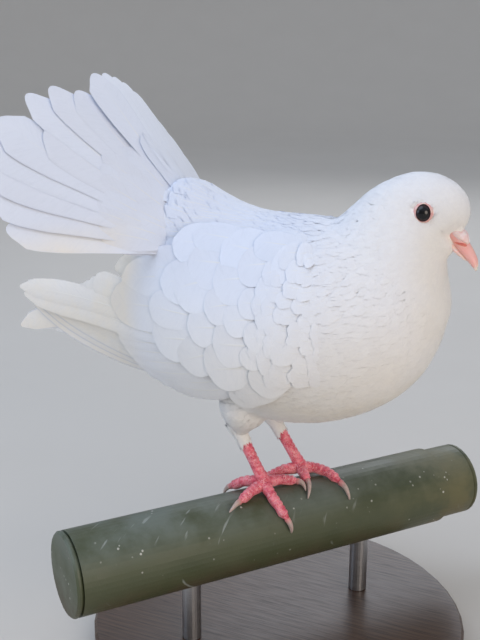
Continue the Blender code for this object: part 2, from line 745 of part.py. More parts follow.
def wing_vane(side, path, half_width, depth, tilt=WING_VANE_TILT, steps=VANE_STEPS, sunk=3.4):
    """A feather that lies on the wing's face; its upper edge dips under its neighbour."""
    a, b, c = (Vector(point) for point in path)
    fronts, backs = [], []
    for t, share in steps:
        centre = a * (1 - t) ** 2 + b * 2 * t * (1 - t) + c * t * t
        along = ((b - a) * (1 - t) + (c - b) * t).normalized()
        across = Vector((along.y, -along.x)) * half_width * share
        if across.y < 0:
            across = -across
        laid = sunk + (depth - sunk) * smooth_step(t, 0.15, 0.6)
        front, back = [], []
        for place in (-1, 0, 1):
            x, height = centre + across * place
            crown = 0.3 * (1 - place * place)
            low = laid + tilt * place * share - crown
            front.append(wing_point(side, x, height, low))
            back.append(wing_point(side, x, height, low + VANE_THICKNESS))
        fronts.append(front)
        backs.append(back)
    bm = bmesh.new()
    vane(bm, fronts, backs)
    return bm


def through_middle(root, middle, tip):
    """A feather's path, bent so that it passes its middle."""
    return root, tuple(2 * m - (r + t) / 2 for r, m, t in zip(root, middle, tip)), tip


def wing_tier(side, tips, count, length, half_width, depth):
    line = [(i, *point) for i, point in enumerate(tips)]
    vanes = []
    for place in np.linspace(0, len(tips) - 1, count):
        x, height = table_at(line, place)
        x += random.uniform(-1, 1)
        path = (x + length, height + 3), (x + length / 2, height + 2.4), (x, height)
        vanes.append(wing_vane(side, path, half_width * random.uniform(0.94, 1.06), depth))
    return vanes


def make_wing(name, side, torso, neck, collection):
    random.seed(SEED + side)
    core = wing_shell(side, WING_CORE_END, 3, WING_CORE_SUNK)
    wing = new_object(name, core, "flight_feathers", collection)
    vanes = []
    for root, middle, tip, half_width, depth in PRIMARIES:
        path = through_middle(root, middle, tip)
        vanes.append(wing_vane(side, path, half_width, depth, 0.2, PRIMARY_STEPS, sunk=depth))
    for root, middle, tip, half_width, depth in SECONDARIES + TERTIALS:
        vanes.append(wing_vane(side, through_middle(root, middle, tip), half_width, depth))
    for tier in COVERT_TIERS + (SCAPULARS,):
        vanes += wing_tier(side, *tier)
    fuse(wing, vanes)
    simplify(wing, 2.5)
    clear_of(wing, torso, neck)
    return wing


# Tail: a fan of feathers over a pad of coverts.


def tail_direction(turn):
    middle = Vector((-math.cos(TAIL_RISE), 0, math.sin(TAIL_RISE)))
    lean = Vector((-math.sin(TAIL_LEAN), 0, 0)) * abs(math.sin(turn)) ** 1.3
    spread = Vector((0, math.cos(TAIL_LEAN), 0)) * math.sin(turn)
    return (middle * math.cos(turn) + lean + spread).normalized()


def tail_normal(turn):
    """Upwards and forwards out of the fan's front face."""
    step = 0.01
    across = tail_direction(turn + step) - tail_direction(turn - step)
    normal = across.cross(tail_direction(turn)).normalized()
    return normal if normal.x > 0 else -normal


def tail_root(turn):
    x, _, z = TAIL_ROOT
    drop = TAIL_ROOT_DROP * (1 - math.cos(turn))
    return mm((x - drop / 2, TAIL_ROOT_SPREAD * math.sin(turn), z - drop))


def tail_pad():
    """The coverts over and under the roots of the tail feathers."""
    reach = (0, 0.35, 0.7, 0.9, 1)
    rings = []
    for place in np.linspace(-1, 1, 15):
        turn = place * TAIL_PAD_SPREAD
        root, along, out = tail_root(turn), tail_direction(turn), tail_normal(turn)
        front, back = [], []
        for t in reach:
            full = (TAIL_PAD_THICKNESS - 0.7) * (1 - 0.8 * abs(place) ** 3)
            thick = (0.7 + full * math.sqrt(1 - t)) * MM
            point = root + along * t * TAIL_PAD * MM
            front.append(point + out * thick)
            back.append(point - out * thick * 0.7)
        rings.append(front + back[::-1])
    bm = bmesh.new()
    ring_loft(bm, rings)
    bmesh.ops.triangulate(bm, faces=bm.faces)
    return bm


def rectrix(turn, length, width):
    """A tail feather, its outer edge tilted forwards so that it lies over its outer neighbour."""
    root, along, out = tail_root(turn), tail_direction(turn), tail_normal(turn)
    across = along.cross(out)
    if across.y * math.sin(turn) < 0:
        across = -across
    across = across * math.cos(RECTRIX_TILT) + out * math.sin(RECTRIX_TILT)
    fronts, backs = [], []
    for t, share in RECTRIX_STEPS:
        point = root + along * length * t * MM
        half = across * RECTRIX_HALF_WIDTH * width * share * MM
        thick = out * RECTRIX_THICKNESS / 2 * MM
        crown = out * 0.5 * MM
        middle_row = (point - half, point + crown, point + half)
        fronts.append([p + thick for p in middle_row])
        backs.append([p - thick for p in middle_row])
    bm = bmesh.new()
    vane(bm, fronts, backs)
    return bm


def make_tail(torso, wing_forms, collection):
    tail = new_object("tail", tail_pad(), "flight_feathers", collection)
    feathers = []
    for turn, length, width in RECTRICES:
        feathers.append(rectrix(math.radians(turn), length, width))
    fuse(tail, feathers)
    simplify(tail, 1.5)
    clear_of(tail, torso)
    clear_of(tail, *wing_forms, gap=WING_CLEARANCE)
    return tail


# Legs.


def spread(points, count):
    """Points along a smooth curve through a few given ones."""
    table = [(i, *point) for i, point in enumerate(points)]
    return [Vector(table_at(table, t)) for t in np.linspace(0, len(points) - 1, count)]


def make_leg(side, torso, wing_form, collection):
    leg = LEGS[side]
    hub, hock, hip = rail_point(*leg["hub"]), mm(leg["hock"]), mm(leg["hip"])
    bm = bmesh.new()
    thigh_path = [hock.lerp(hip, t) for t in (-0.02, 0.2, 0.42, 0.7, 1)]
    tube(bm, thigh_path, [r * MM for r in THIGH_RADII], sides=14)
    thigh = new_object(f"thigh_{side}", bm, "plumage", collection)
    clear_of(thigh, torso, wing_form)
    bm = bmesh.new()
    shank_path = [hub.lerp(hock, t) for t in (0.0, 0.25, 0.5, 0.75, 1.0)]
    scaled_tube(bm, shank_path, [r * MM for r in SHANK_RADII], Vector((1, 0, 0)), SHANK_SCUTES)
    shank = new_object(f"shank_{side}", bm, "leg_scales", collection)
    bm = bmesh.new()
    bmesh.ops.create_uvsphere(bm, u_segments=10, v_segments=7, radius=HUB_RADIUS * MM,
                              matrix=Matrix.Translation(hub))
    ball = new_object("ball", bm, "leg_scales", collection)
    add_modifier(shank, "BOOLEAN", object=ball, operation="UNION", solver="MANIFOLD")
    apply_modifiers(shank)
    bpy.data.objects.remove(ball)
    clear_of(shank, thigh)
    return thigh, shank


def make_toe(side, digit, shank, neighbours, collection):
    toe_places, claw_places = TOES[side][digit]
    bm = bmesh.new()
    path = [rail_point(*place) for place in spread(toe_places, 7)]
    radii = np.interp(np.linspace(0, 3, 7), range(4), TOE_RADII)
    length = sum((b - a).length for a, b in zip(path, path[1:]))
    middle = path[len(path) // 2]
    top = middle - rail_axis((middle - rail_axis(0)).dot(RAIL_ALONG))
    count = max(4, round(length / (TOE_SCUTE_LENGTH * MM)))
    scaled_tube(bm, path, [r * MM for r in radii], top.normalized(), count)
    toe = new_object(f"toe_{digit}_{side}", bm, "leg_scales", collection)
    clear_of(toe, shank, *neighbours)
    bm = bmesh.new()
    places = spread(claw_places, 5)
    radii = np.interp(np.linspace(0, 3, 5), range(4), CLAW_RADII)
    tube(bm, [rail_point(*place) for place in places], [r * MM for r in radii], sides=6)
    claw = new_object(f"claw_{digit}_{side}", bm, "claw_horn", collection)
    clear_of(claw, toe)
    return toe, claw


# The rail and the stand.


def rod_between(start, end, radius, sides=32, bevel=0.0):
    bm = bmesh.new()
    length = (end - start).length
    bmesh.ops.create_cone(bm, cap_ends=True, segments=sides, radius1=radius, radius2=radius, depth=length)
    turn = (end - start).to_track_quat("Z", "Y").to_matrix().to_4x4()
    bmesh.ops.transform(bm, matrix=Matrix.Translation((start + end) / 2) @ turn, verts=bm.verts)
    if bevel:
        rims = [edge for edge in bm.edges if any(len(face.verts) > 4 for face in edge.link_faces)]
        bmesh.ops.bevel(bm, geom=rims, offset=bevel, affect="EDGES", segments=1, profile=0.5, material=-1)
    return bm


def rail_axis(along):
    return Vector((0, 0, RAIL_AXIS_HEIGHT)) + RAIL_ALONG * along


def rail_length(name, near, far, radius, collection, sides=48, bevel=0.0):
    bm = rod_between(rail_axis(near), rail_axis(far), radius, sides, bevel)
    return new_object(name, bm, "rail_paint", collection)


def make_rail(collection):
    rail = rail_length("perch_rail", RAIL_NEAR_END, RAIL_STEP, RAIL_RADIUS, collection)
    rail_length("perch_spigot", RAIL_STEP + GAP, RAIL_FAR_END, RAIL_STEP_RADIUS, collection)
    near = RAIL_NEAR_END - GAP
    far = RAIL_FAR_END + GAP
    rail_length("perch_cap_near", near - CAP_THICKNESS, near, RAIL_RADIUS, collection, 32, 1 * MM)
    rail_length("perch_cap_far", far, far + CAP_THICKNESS, RAIL_STEP_RADIUS, collection, 32, 1 * MM)
    return rail


def make_stand(rail, collection):
    base = rod_between(Vector((0, 0, 0)), Vector((0, 0, BASE_THICKNESS)), BASE_RADIUS, 48, 1.5 * MM)
    new_object("stand_base", base, "stand_base", collection)
    for name, along in zip(("stand_rod_near", "stand_rod_far"), ROD_PLACES):
        foot = RAIL_ALONG * along
        top = foot + Vector((0, 0, RAIL_AXIS_HEIGHT - RAIL_RADIUS * 0.5))
        bm = rod_between(foot + Vector((0, 0, BASE_THICKNESS + GAP)), top, ROD_RADIUS, 24)
        rod = new_object(name, bm, "stand_metal", collection)
        clear_of(rod, rail)


def make_bird():
    for old in list(bpy.data.objects):
        bpy.data.objects.remove(old)
    pigeon = named_collection("fantail_pigeon")
    make_stand(make_rail(pigeon), pigeon)
    torso, neck, head = make_body(pigeon)
    make_eyes(head, pigeon)
    make_bill(head, pigeon)
    make_wing("wing_right", -1, torso, neck, pigeon)
    make_wing("wing_left", 1, torso, neck, pigeon)
    forms = []
    for side in (-1, 1):
        form = wing_shell(side, WING[0][0], 0, 0)
        forms.append(new_object("wing_form", form, "plumage", pigeon))
    make_tail(torso, forms, pigeon)
    for side, form in zip(("right", "left"), forms):
        _, shank = make_leg(side, torso, form, pigeon)
        made = []
        for digit in TOES[side]:
            toe, _ = make_toe(side, digit, shank, made, pigeon)
            made.append(toe)
    for form in forms:
        bpy.data.objects.remove(form)
    for piece in pigeon.objects:
        piece.data.shade_smooth()
        piece.data.set_sharp_from_angle(angle=math.radians(40))


make_bird()
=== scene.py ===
"""The dressed look of a white fantail pigeon on a cut length of painted rail and a display stand.

Metres, +Z up, the bird facing +X with its left side at +Y. The tables below are in millimetres.
The skin is one closed form under the plumage. Each feather is a thin closed vane.
"""

import math
import random

import bmesh
import bpy
import numpy as np
from mathutils import Matrix, Vector
from mathutils.bvhtree import BVHTree


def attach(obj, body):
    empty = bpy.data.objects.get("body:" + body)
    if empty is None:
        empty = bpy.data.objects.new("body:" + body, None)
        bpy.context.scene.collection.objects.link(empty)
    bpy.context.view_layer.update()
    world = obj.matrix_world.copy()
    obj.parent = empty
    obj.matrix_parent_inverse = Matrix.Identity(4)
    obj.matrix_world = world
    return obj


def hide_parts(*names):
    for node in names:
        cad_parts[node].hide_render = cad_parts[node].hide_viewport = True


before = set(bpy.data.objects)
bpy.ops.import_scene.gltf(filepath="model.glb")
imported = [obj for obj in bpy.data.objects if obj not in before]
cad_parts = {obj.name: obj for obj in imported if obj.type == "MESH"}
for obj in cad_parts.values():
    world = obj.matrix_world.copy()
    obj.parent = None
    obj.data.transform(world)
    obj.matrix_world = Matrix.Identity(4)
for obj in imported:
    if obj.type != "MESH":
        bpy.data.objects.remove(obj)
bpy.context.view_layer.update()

MM = 0.001
SEED = 7
SIDES = (("right", -1), ("left", 1))
UP = Vector((0, 0, 1))
THIRDS = (0, 1 / 3, 2 / 3, 1)

# The rail.
RAIL_RADIUS = 21.2 * MM
RAIL_AXIS_HEIGHT = 66 * MM
RAIL_TURN = math.radians(52.6)
RAIL_ALONG = Vector((math.cos(RAIL_TURN), math.sin(RAIL_TURN), 0))
RAIL_ACROSS = Vector((math.sin(RAIL_TURN), -math.cos(RAIL_TURN), 0))

# The head and its turn to the bird's left.
HEAD_TURN = math.radians(10)
HEAD_PIVOT = Vector((60, 0, 0)) * MM
TURN_FROM = 212 * MM  # the height where the turn starts
TURN_WHOLE = 238 * MM
BEHIND_TURN = 5 * MM  # nothing behind this x turns, and before the nape only the height counts
NAPE = 32 * MM
EYE_PLACE = (69.4, 13.5, 240)
EYE_RADIUS = 4.6
EYE_DEPTH = 2.1  # from the eye's place in to the eyeball's middle
LID_OPENING = (3.25, 4.05, 3.8)  # from the middle to the corners, up and down
LID_REACH = 4.7  # the outer edge of the bare ring
LID_THICKNESS = 0.34
LID_ON_BALL = 4.4  # out to here the lids follow the eyeball
LID_CREASES = 15
PUPIL = 0.20  # share of the eyeball's half turn
IRIS = 0.33

# Bill: distance along it, upper edge, lower edge, half width.
BILL_ROOT = (84.5, 0, 227)
BILL_SLOPE = math.radians(-50)
UPPER_BILL = (
    (-5, 3.0, -2.2, 4.3),
    (-3, 3.5, -2.5, 4.3),
    (0, 3.6, -2.7, 4.0),
    (4, 3.4, -2.6, 3.6),
    (8, 3.2, -2.1, 3.1),
    (11, 2.8, -1.7, 2.6),
    (13.5, 2.1, -1.5, 2.0),
    (15.5, 0.9, -1.4, 1.3),
    (16.9, -0.5, -1.5, 0.5),
)
LOWER_BILL = (
    (-3, -1.9, -5.1, 3.9),
    (2, -1.9, -4.8, 3.6),
    (5, -1.8, -4.1, 3.0),
    (7.5, -1.5, -3.4, 2.3),
    (9.5, -1.3, -2.8, 1.5),
    (10.8, -1.2, -2.3, 0.7),
)
# Cere: distance along the bill, top, bottom, half width, how far each half bulges.
CERE = (
    (-5.2, 1.6, -1.0, 3.6, 0.1),
    (-3.4, 3.3, -1.5, 4.45, 0.3),
    (-1.0, 4.6, -1.0, 4.6, 0.5),
    (1.5, 4.7, 0.3, 4.15, 0.5),
    (3.2, 4.15, 1.5, 3.4, 0.3),
    (4.8, 3.65, 2.3, 2.2, 0.05),
)
NOSTRIL = (2.7, 3.75, 0.55)  # along the bill, across and up
NOSTRIL_RISE = math.radians(37)  # against the bill's own line
NOSTRIL_HALF_LENGTH = 3.0
NOSTRIL_DEPTH = 0.42
NOSTRIL_HALF_HEIGHT = 0.62

# Folded wing: x, lower edge, upper edge, then the half width, middle height and half height of the
# oval that its outer face follows, and its thickness.
WING = (
    (-150, 157, 189, 24, 184, 60, 0.9),
    (-130, 162, 191, 25, 184, 60, 1.4),
    (-112, 160, 190, 27, 184, 60, 2.0),
    (-92, 155, 196, 31, 184, 58, 2.6),
    (-70, 151, 208, 37, 184, 56, 3.2),
    (-50, 146, 221, 43, 184, 55, 4.2),
    (-30, 144, 229.5, 48.5, 182, 55, 5.5),
    (-10, 142, 232, 52.2, 181, 54.5, 6.5),
    (8, 144, 232.5, 53.5, 181, 53.8, 7),
    (25, 151, 231, 52.5, 182, 52.3, 7),
    (36, 161, 227, 50.4, 183.5, 49.5, 6),
    (43, 177, 216, 48.8, 184, 46.5, 3),
)
OVER_THE_BACK = 0.86  # past this share of its half height the wing's face curls over the back
SINKS_TO_BACK = 0.42  # how much deeper the face lies there for each millimetre
WING_CORE_INSIDE = 4  # from the wing's upper and lower edge
WING_CORE_END = -66
WING_CORE_SUNK = 3.2  # how much deeper the core's face lies at the rear than at the front
WING_BITE = 6  # how much further in the core reaches ahead of its rear end
LEFT_TIP_DROP = (11, 55, 110)  # how far the left wing's tip hangs lower, and where that starts and ends

# Wing feathers: root, middle and tip as (x, height), half width, depth below the wing's face.
PRIMARIES = (
    ((-50, 172), (-100, 174), (-150, 157), 7.5, 6.6),
    ((-40, 153.5), (-90, 155), (-142.5, 182.5), 7.5, 5.75),
    ((-40, 158), (-88, 163.5), (-140.5, 188.5), 7.5, 4.9),
    ((-40, 163), (-86, 170.5), (-127, 188.5), 7.5, 4.05),
    ((-40, 169), (-84, 176), (-114, 187.5), 7.5, 3.2),
    ((-40, 176), (-80, 183.5), (-103, 190), 7.5, 2.4),
    ((-40, 186), (-74, 191.5), (-93, 193), 8.0, 1.7),
)
# The innermost primaries, which lie over the tips of the others.
TOP_PRIMARIES = (
    ((-44, 174), (-92, 178.5), (-141, 181), 7.5, 1.4),
    ((-44, 182), (-92, 184.5), (-143.5, 185), 6.5, 1.1),
)
SECONDARIES = (
    ((-6, 155), (-28, 148), (-50, 147), 7.5, 1.6),
    ((-12, 162), (-40, 153.5), (-62, 151.5), 7.5, 1.6),
    ((-18, 170), (-48, 162.5), (-71, 160.5), 7.5, 1.6),
    ((-22, 178), (-52, 171), (-77, 168.5), 7.5, 1.6),
    ((-26, 187), (-54, 180), (-80, 177), 7.5, 1.6),
)
TERTIALS = (
    ((-16, 205), (-42, 205), (-72, 199), 10.5, 0.75),
    ((-16, 193), (-46, 190), (-79, 187), 13.0, 0.35),
    ((-22, 222), (-46, 219), (-74, 211), 8.0, 4.0),
    ((-26, 214), (-50, 212), (-80, 204), 8.0, 4.6),
)
# The larger coverts and scapulars, rear first: tip, length, half width, depth, and how far each rises
# from its tip to its root.
COVERTS = (
    (-9, 147, 22, 7.0, 0.7, 6), (-3, 152, 24, 8.0, 0.3, 5), (-50, 174, 38, 13.0, 0.15, 3),
    (-53, 190, 34, 9.0, -0.2, 0), (-55, 208, 42, 9.0, 0.6, 1), (-45, 202, 36, 9.0, -0.25, 3),
    (-33, 165, 30, 10.0, 0.1, 7), (-17, 165, 27, 12.0, -0.5, 5),
    (-42, 220, 38, 8.5, -0.3, 0), (-36, 199.5, 32, 11.5, -0.4, 6), (-28, 184, 28, 9.0, -0.35, 2),
    (7, 160, 20, 8.5, -0.3, 6), (-13, 179, 23, 10.5, -0.55, 3), (-28, 213, 30, 10.0, -0.45, 0),
    (-31, 225, 32, 7.0, -0.4, 1), (-19, 194, 22, 8.0, -0.5, 6), (-7, 190, 20, 7.5, -0.55, 1),
    (2, 172, 19, 6.5, -0.5, 6), (-12, 206, 26, 9.0, -0.6, 4), (-15, 222, 27, 8.5, -0.5, -1),
    (12, 167, 17, 7.0, -0.5, 2), (-1, 199.5, 18, 6.5, -0.6, 0), (4, 183, 17, 6.8, -0.6, 5),
    (-2, 213, 22, 8.0, -0.65, 2), (3, 224, 22, 6.5, -0.6, 0), (9, 192, 15, 5.6, -0.65, 4),
    (15, 178, 15, 6.0, -0.6, 1), (9, 205, 18, 6.5, -0.7, 3), (13, 217, 18, 6.5, -0.7, 0),
)
WING_FRONT = ((150, 42), (189, 39), (202, 36), (214, 31), (230, 24))  # height, x where the breast covers it
LESSER_ROWS = 8  # from the last of the larger coverts to the shoulder's front edge
LESSER_LENGTHS = (13.0, 6.0)  # the first row's length, and how much shorter the last row is
LESSER_HALF_WIDTHS = (4.8, 2.2)  # the same for the half width
LESSER_STEP = 1.4  # between feathers of a row, in half widths
PRIMARY_COUNT = 11  # from the second row of their table to the last
SECONDARY_COUNT = 8

# Tail fan.
TAIL_ROOT = (-38, 0, 212)
TAIL_ROOT_SPREAD = 13  # times the sine of a feather's turn, to the side of the middle
TAIL_ROOT_DROP = 3
TAIL_RISE = math.radians(51)
TAIL_LEAN = math.radians(27)
# Each tail feather's turn from the middle of the fan, in degrees, its length, and its width as a
# share of the widest.
RECTRICES = (
    (-72.5, 100.5, 0.66), (-61, 112, 1), (-53, 115, 1), (-45.5, 117, 1), (-38.5, 119, 1), (-31.5, 98.5, 1),
    (-25, 116, 0.74), (-17.5, 111.5, 0.76), (-11, 103, 0.8), (-1, 108, 1), (7, 110, 1), (15, 112, 1),
    (22.5, 114, 1), (30.5, 115, 1), (38.5, 115.5, 1), (46.5, 114.5, 1), (54, 112.5, 1), (61, 106, 1),
)
RECTRIX_HALF_WIDTH = 13.5
RECTRIX_TILT = math.radians(8)
TAIL_PAD = 50  # length of the flesh and down round the roots of the tail feathers
TAIL_PAD_THICKNESS = 10
TAIL_PAD_SPREAD = math.radians(68)
# Rows of tail coverts: how far up the fan they start, length, half width, and lift off its face.
TAIL_COVERTS = (
    (22, 46, 8.5, 0.8),
    (17, 42, 8.0, 1.7),
    (10, 38, 7.0, 2.9),
    (3, 34, 6.5, 4.4),
    (-5, 32, 6.0, 6.4),
    (-12, 30, 5.5, 8.8),
)
WIDEST_ROW = 23  # tail coverts in the first row; each row after it has two fewer
# Rows of rump feathers: how far before the fan's root they start, how far up the fan they reach, and
# lift off its face.
RUMP_ROWS = ((6, 34, 2.0), (11, 30, 3.0), (16, 26, 4.0), (22, 20, 5.2), (28, 14, 6.4))
RUMP_ROW_REACH = 0.52  # how far to each side a row goes, as a share of the fan's root
RUMP_ROW_FEATHERS = 11

# Legs: the hub is the ball of the foot; angles go round the rail from its top, distances along it.
LEGS = {
    "right": {"hub": (5, -11, 5.2), "hock": (-17.3, -13.5, 119.4), "hip": (-12, -17, 142)},
    "left": {"hub": (-12, 16, 5.8), "hock": (-9.3, 14.4, 116.2), "hip": (-2, 19, 143)},
}
SHANK_RADII = (3.6, 2.95, 2.75, 2.8, 3.0, 3.3)
SHANK_SCUTES = 11
TOE_RADII = (3.0, 2.6, 2.35, 2.0)
CLAW_RADII = (1.85, 1.5, 1.0, 0.4)
# Each toe from its foot's root: two points of the toe, the root of its claw and three points of the claw.
TOE_ROOTS = {"right": (5, -11, 5.0), "left": (-12, 16, 5.6)}
TOES = {
    "right": {
        "middle": ((22, -11.3, 3.6), (42, -9.8, 3.0), (58, -7.4, 2.6),
                   (65, -6.5, 3.0), (72, -5.8, 2.2), (77, -5.4, 0.9)),
        "outer": ((9, -17, 3.7), (15, -23, 3.1), (22, -28.5, 2.6),
                  (25, -31.2, 2.9), (28.5, -33.8, 2.1), (31, -35.8, 0.9)),
        "inner": ((1, -4, 3.8), (3, 3, 3.1), (10, 8, 2.6),
                  (15, 9.4, 2.9), (21, 10, 2.1), (26, 10, 0.9)),
        "hind": ((-10, -16, 4.4), (-24, -20, 3.2), (-33, -22, 2.6),
                 (-39, -23, 2.8), (-46, -24, 2.1), (-52, -24.5, 0.9)),
    },
    "left": {
        "middle": ((-8, 23, 4.0), (8, 27.5, 3.1), (28, 30.3, 2.6),
                   (37, 31.3, 3.0), (46, 32, 2.2), (53, 32.4, 0.9)),
        "outer": ((-26, 22, 3.8), (-42, 28, 3.1), (-56, 32, 2.6),
                  (-63, 33.4, 3.0), (-70, 34.4, 2.2), (-75, 35, 0.9)),
        "inner": ((-4, 14.6, 4.4), (6, 13.8, 3.3), (14, 13.4, 2.8),
                  (22, 12.4, 3.2), (31, 10.6, 2.4), (38, 9, 0.9)),
        "hind": ((-18, 7, 5.2), (-21, 0, 3.6), (-20, -5, 2.8),
                 (-19.5, -8, 2.9), (-19, -11, 2.1), (-18.5, -13, 0.9)),
    },
}
SCUTE_ROWS = 7  # rows of faces along each scute
TOE_SCUTE = 2.7  # length of a toe's scute
TOE_PAD = 8.5  # length of a toe's pad
FOOT_BALL_RADIUS = 4.2
CUFF_START = -7  # the first ring's distance down the shank from the hock
CUFF_STEP = (0.54, 0.22)  # between rings in front, and how much more behind
CUFF_RADIUS = 3.2
CUFF_SPREAD = 0.24  # how much wider the cuff grows for each millimetre up towards the thigh
TOE_END = (0.84, 0.42)  # where along a toe its end starts to taper, and by what share
CUFF_RINGS = 16
CUFF_FEATHERS = 24  # in each ring

# Skin and coat.
TRUNK_AXIS_HEIGHT = 185  # the line that the trunk's skin is unrolled round
NECK_AXIS = 58  # how far forward the line is that the neck and head are unrolled round
NECK_FROM = (20, 214)  # the neck and head lie in front of the first and above the second
SKIN_SWELL = 0.4
SKIN_VOXEL = 1.15
SKIN_SMOOTHING = 5
COAT_DEPTH = 1.0  # the skin lies this far inside the body's outer form
FACE_COAT_DEPTH = 0.35
# Contour feathers by the distance of their root from the bill: length, half width, spacing, lift.
COAT = (
    (0, 2.2, 0.66, 0.58, 0.28),
    (10, 2.9, 0.90, 0.70, 0.38),
    (20, 4.2, 1.20, 0.90, 0.50),
    (35, 6.4, 1.50, 1.18, 0.72),
    (55, 9.0, 2.00, 1.58, 0.95),
    (80, 11.5, 2.6, 2.1, 1.1),
    (115, 11.5, 2.8, 2.2, 1.0),
    (135, 10.5, 2.7, 2.1, 0.8),
    (240, 11.0, 2.8, 2.2, 0.8),
)
# The same four sizes on the thighs, how much smaller each is at the cuffs, and larger on the rump.
THIGH_COAT = (6.5, 1.7, 1.7, 1.3)
SMALLER_AT_CUFFS = (3.2, 0.9, 0.7, 0.5)
LARGER_ON_RUMP = (5, 1.8, 1.2, 0)
TURNS_BACK = (75, 140)  # distances from the bill over which the plumage turns back along the body
PARTS_ROUND_EYE = (7, 11)  # fully within the first distance from an eye, and not past the second
COAT_THICKNESS = 0.05 * MM
EYE_CLEARING = 4.7  # no point of a feather's spine but its root lies nearer to an eye
ROOT_CLEARING = 3.7  # and no root lies nearer than this
ROOTS_TRIED = 3.2  # for each square of a feather's spacing
ROOT_GAP = 0.86  # least distance between roots, as a share of the spacing
ROOT_CELL = 1.6  # side of the cells that the roots are sorted into
MOST_TRIANGLES = 199_000  # in one piece of the coat

# The studio's lights, in metres: name, place, size, power, colour.
LIGHTS = (
    ("high_softbox", (-0.55, -0.45, 1.5), 1.3, 8, (0.70, 0.80, 1.0)),
    ("front_fill", (1.2, -0.9, 0.5), 0.9, 9.5, (1.0, 0.87, 0.75)),
    ("tail_fill", (-1.3, -1.0, 0.65), 1.0, 7, (0.66, 0.80, 1.0)),
    ("back_rim", (-0.3, 1.3, 0.9), 0.9, 4, (0.88, 0.92, 1.0)),
)
LIGHTS_AIM = Vector((0, 0, 0.17))
CAMERA_PLACE = (184.16, -445.69, 319.77)
CAMERA_TURN = math.radians(25)
CAMERA_RISE = math.radians(16.4)
CAMERA_ROLL = math.radians(0.2)
CAMERA_LENS = 56.25


def mm(point):
    return Vector(point) * MM


def table_at(table, where):
    """The columns of a table at a value of its first column, on smooth curves through the rows."""
    knots = np.array([row[0] for row in table], float)
    values = np.array([row[1:] for row in table], float)
    slopes = np.gradient(values, knots, axis=0)
    where = min(max(where, knots[0]), knots[-1])
    i = min(max(int(np.searchsorted(knots, where)) - 1, 0), len(knots) - 2)
    span = knots[i + 1] - knots[i]
    t = (where - knots[i]) / span
    ends = (2 * t**3 - 3 * t**2 + 1) * values[i] + (3 * t**2 - 2 * t**3) * values[i + 1]
    bends = (t**3 - 2 * t**2 + t) * slopes[i] + (t**3 - t**2) * slopes[i + 1]
    return ends + bends * span


def smooth_step(value, low, high):
    t = min(max((value - low) / (high - low), 0), 1)
    return t * t * (3 - 2 * t)


def turned_with_head(point):
    """A point after the head's turn, which grows up the neck and from the nape forwards."""
    share = smooth_step(point.z, TURN_FROM, TURN_WHOLE) * smooth_step(point.x, BEHIND_TURN, NAPE)
    return HEAD_PIVOT + Matrix.Rotation(HEAD_TURN * share, 3, "Z") @ (point - HEAD_PIVOT)


def rail_axis(along):
    return Vector((0, 0, RAIL_AXIS_HEIGHT)) + RAIL_ALONG * along


def rail_point(angle, along, height):
    """A point over the rail: degrees round it from its top, millimetres along it and above it."""
    turn = math.radians(angle)
    out = RAIL_ACROSS * math.sin(turn) + UP * math.cos(turn)
    return rail_axis(along * MM) + out * (RAIL_RADIUS + height * MM)


def swung(first, second, turn):
    """The first direction swung towards the second by a turn."""
    return first * math.cos(turn) + second * math.sin(turn)


def spread(points, count):
    """Points along a smooth curve through a few given ones."""
    table = [(i, *point) for i, point in enumerate(points)]
    return [Vector(table_at(table, t)) for t in np.linspace(0, len(points) - 1, count)]


# Materials.


def feed(tree, socket, value):
    """Links an input to another socket, or sets its value."""
    if isinstance(value, bpy.types.NodeSocket):
        tree.links.new(value, socket)
    else:
        socket.default_value = value


def node(tree, kind, sockets=(), **settings):
    made = tree.nodes.new("ShaderNode" + kind)
    for name, value in settings.items():
        setattr(made, name, value)
    for name, value in dict(sockets).items():
        feed(tree, made.inputs[name], value)
    return made


def maths(tree, operation, a, b=0.0, clamp=False):
    return node(tree, "Math", {0: a, 1: b}, operation=operation, use_clamp=clamp).outputs[0]


def times(tree, a, b):
    return maths(tree, "MULTIPLY", a, b)


def apart(tree, a, b):
    """How far one value is from another."""
    return maths(tree, "ABSOLUTE", maths(tree, "SUBTRACT", a, b))


def between(tree, value, low, high, to_low=0.0, to_high=1.0):
    """A value's place between two others, smoothed."""
    return node(tree, "MapRange", {"Value": value, "From Min": low, "From Max": high,
                                   "To Min": to_low, "To Max": to_high},
                interpolation_type="SMOOTHSTEP").outputs["Result"]


def mixed(tree, share, a, b):
    return node(tree, "Mix", {0: share, 6: a, 7: b}, data_type="RGBA").outputs[2]


def noise(tree, vector, scale, detail=3.0, roughness=0.55):
    return node(tree, "TexNoise", {"Vector": vector, "Scale": scale, "Detail": detail,
                                   "Roughness": roughness}).outputs["Fac"]


def stretched(tree, vector, scale, rotation=(0, 0, 0)):
    return node(tree, "Mapping", {"Vector": vector, "Scale": scale, "Rotation": rotation}).outputs[0]


def object_place(tree):
    return node(tree, "TexCoord").outputs["Object"]


def vane_place(tree):
    return node(tree, "UVMap", uv_map="vane").outputs["UV"]


def mark(tree, name):
    """A value that each vertex of the form carries."""
    return node(tree, "Attribute", attribute_name=name).outputs["Fac"]


def split(tree, vector):
    return node(tree, "SeparateXYZ", {"Vector": vector}).outputs


def effect(name, inputs, outputs):
    """A shared effect with named inputs and outputs; returns it with its inner sockets."""
    tree = bpy.data.node_groups.new(name, "ShaderNodeTree")
    for label, default in inputs.items():
        socket = tree.interface.new_socket(label, in_out="INPUT", socket_type="NodeSocketFloat")
        socket.default_value = default
    for label, kind in outputs.items():
        tree.interface.new_socket(label, in_out="OUTPUT", socket_type="NodeSocket" + kind)
    taken = tree.nodes.new("NodeGroupInput").outputs
    given = tree.nodes.new("NodeGroupOutput").inputs
    return tree, taken, given


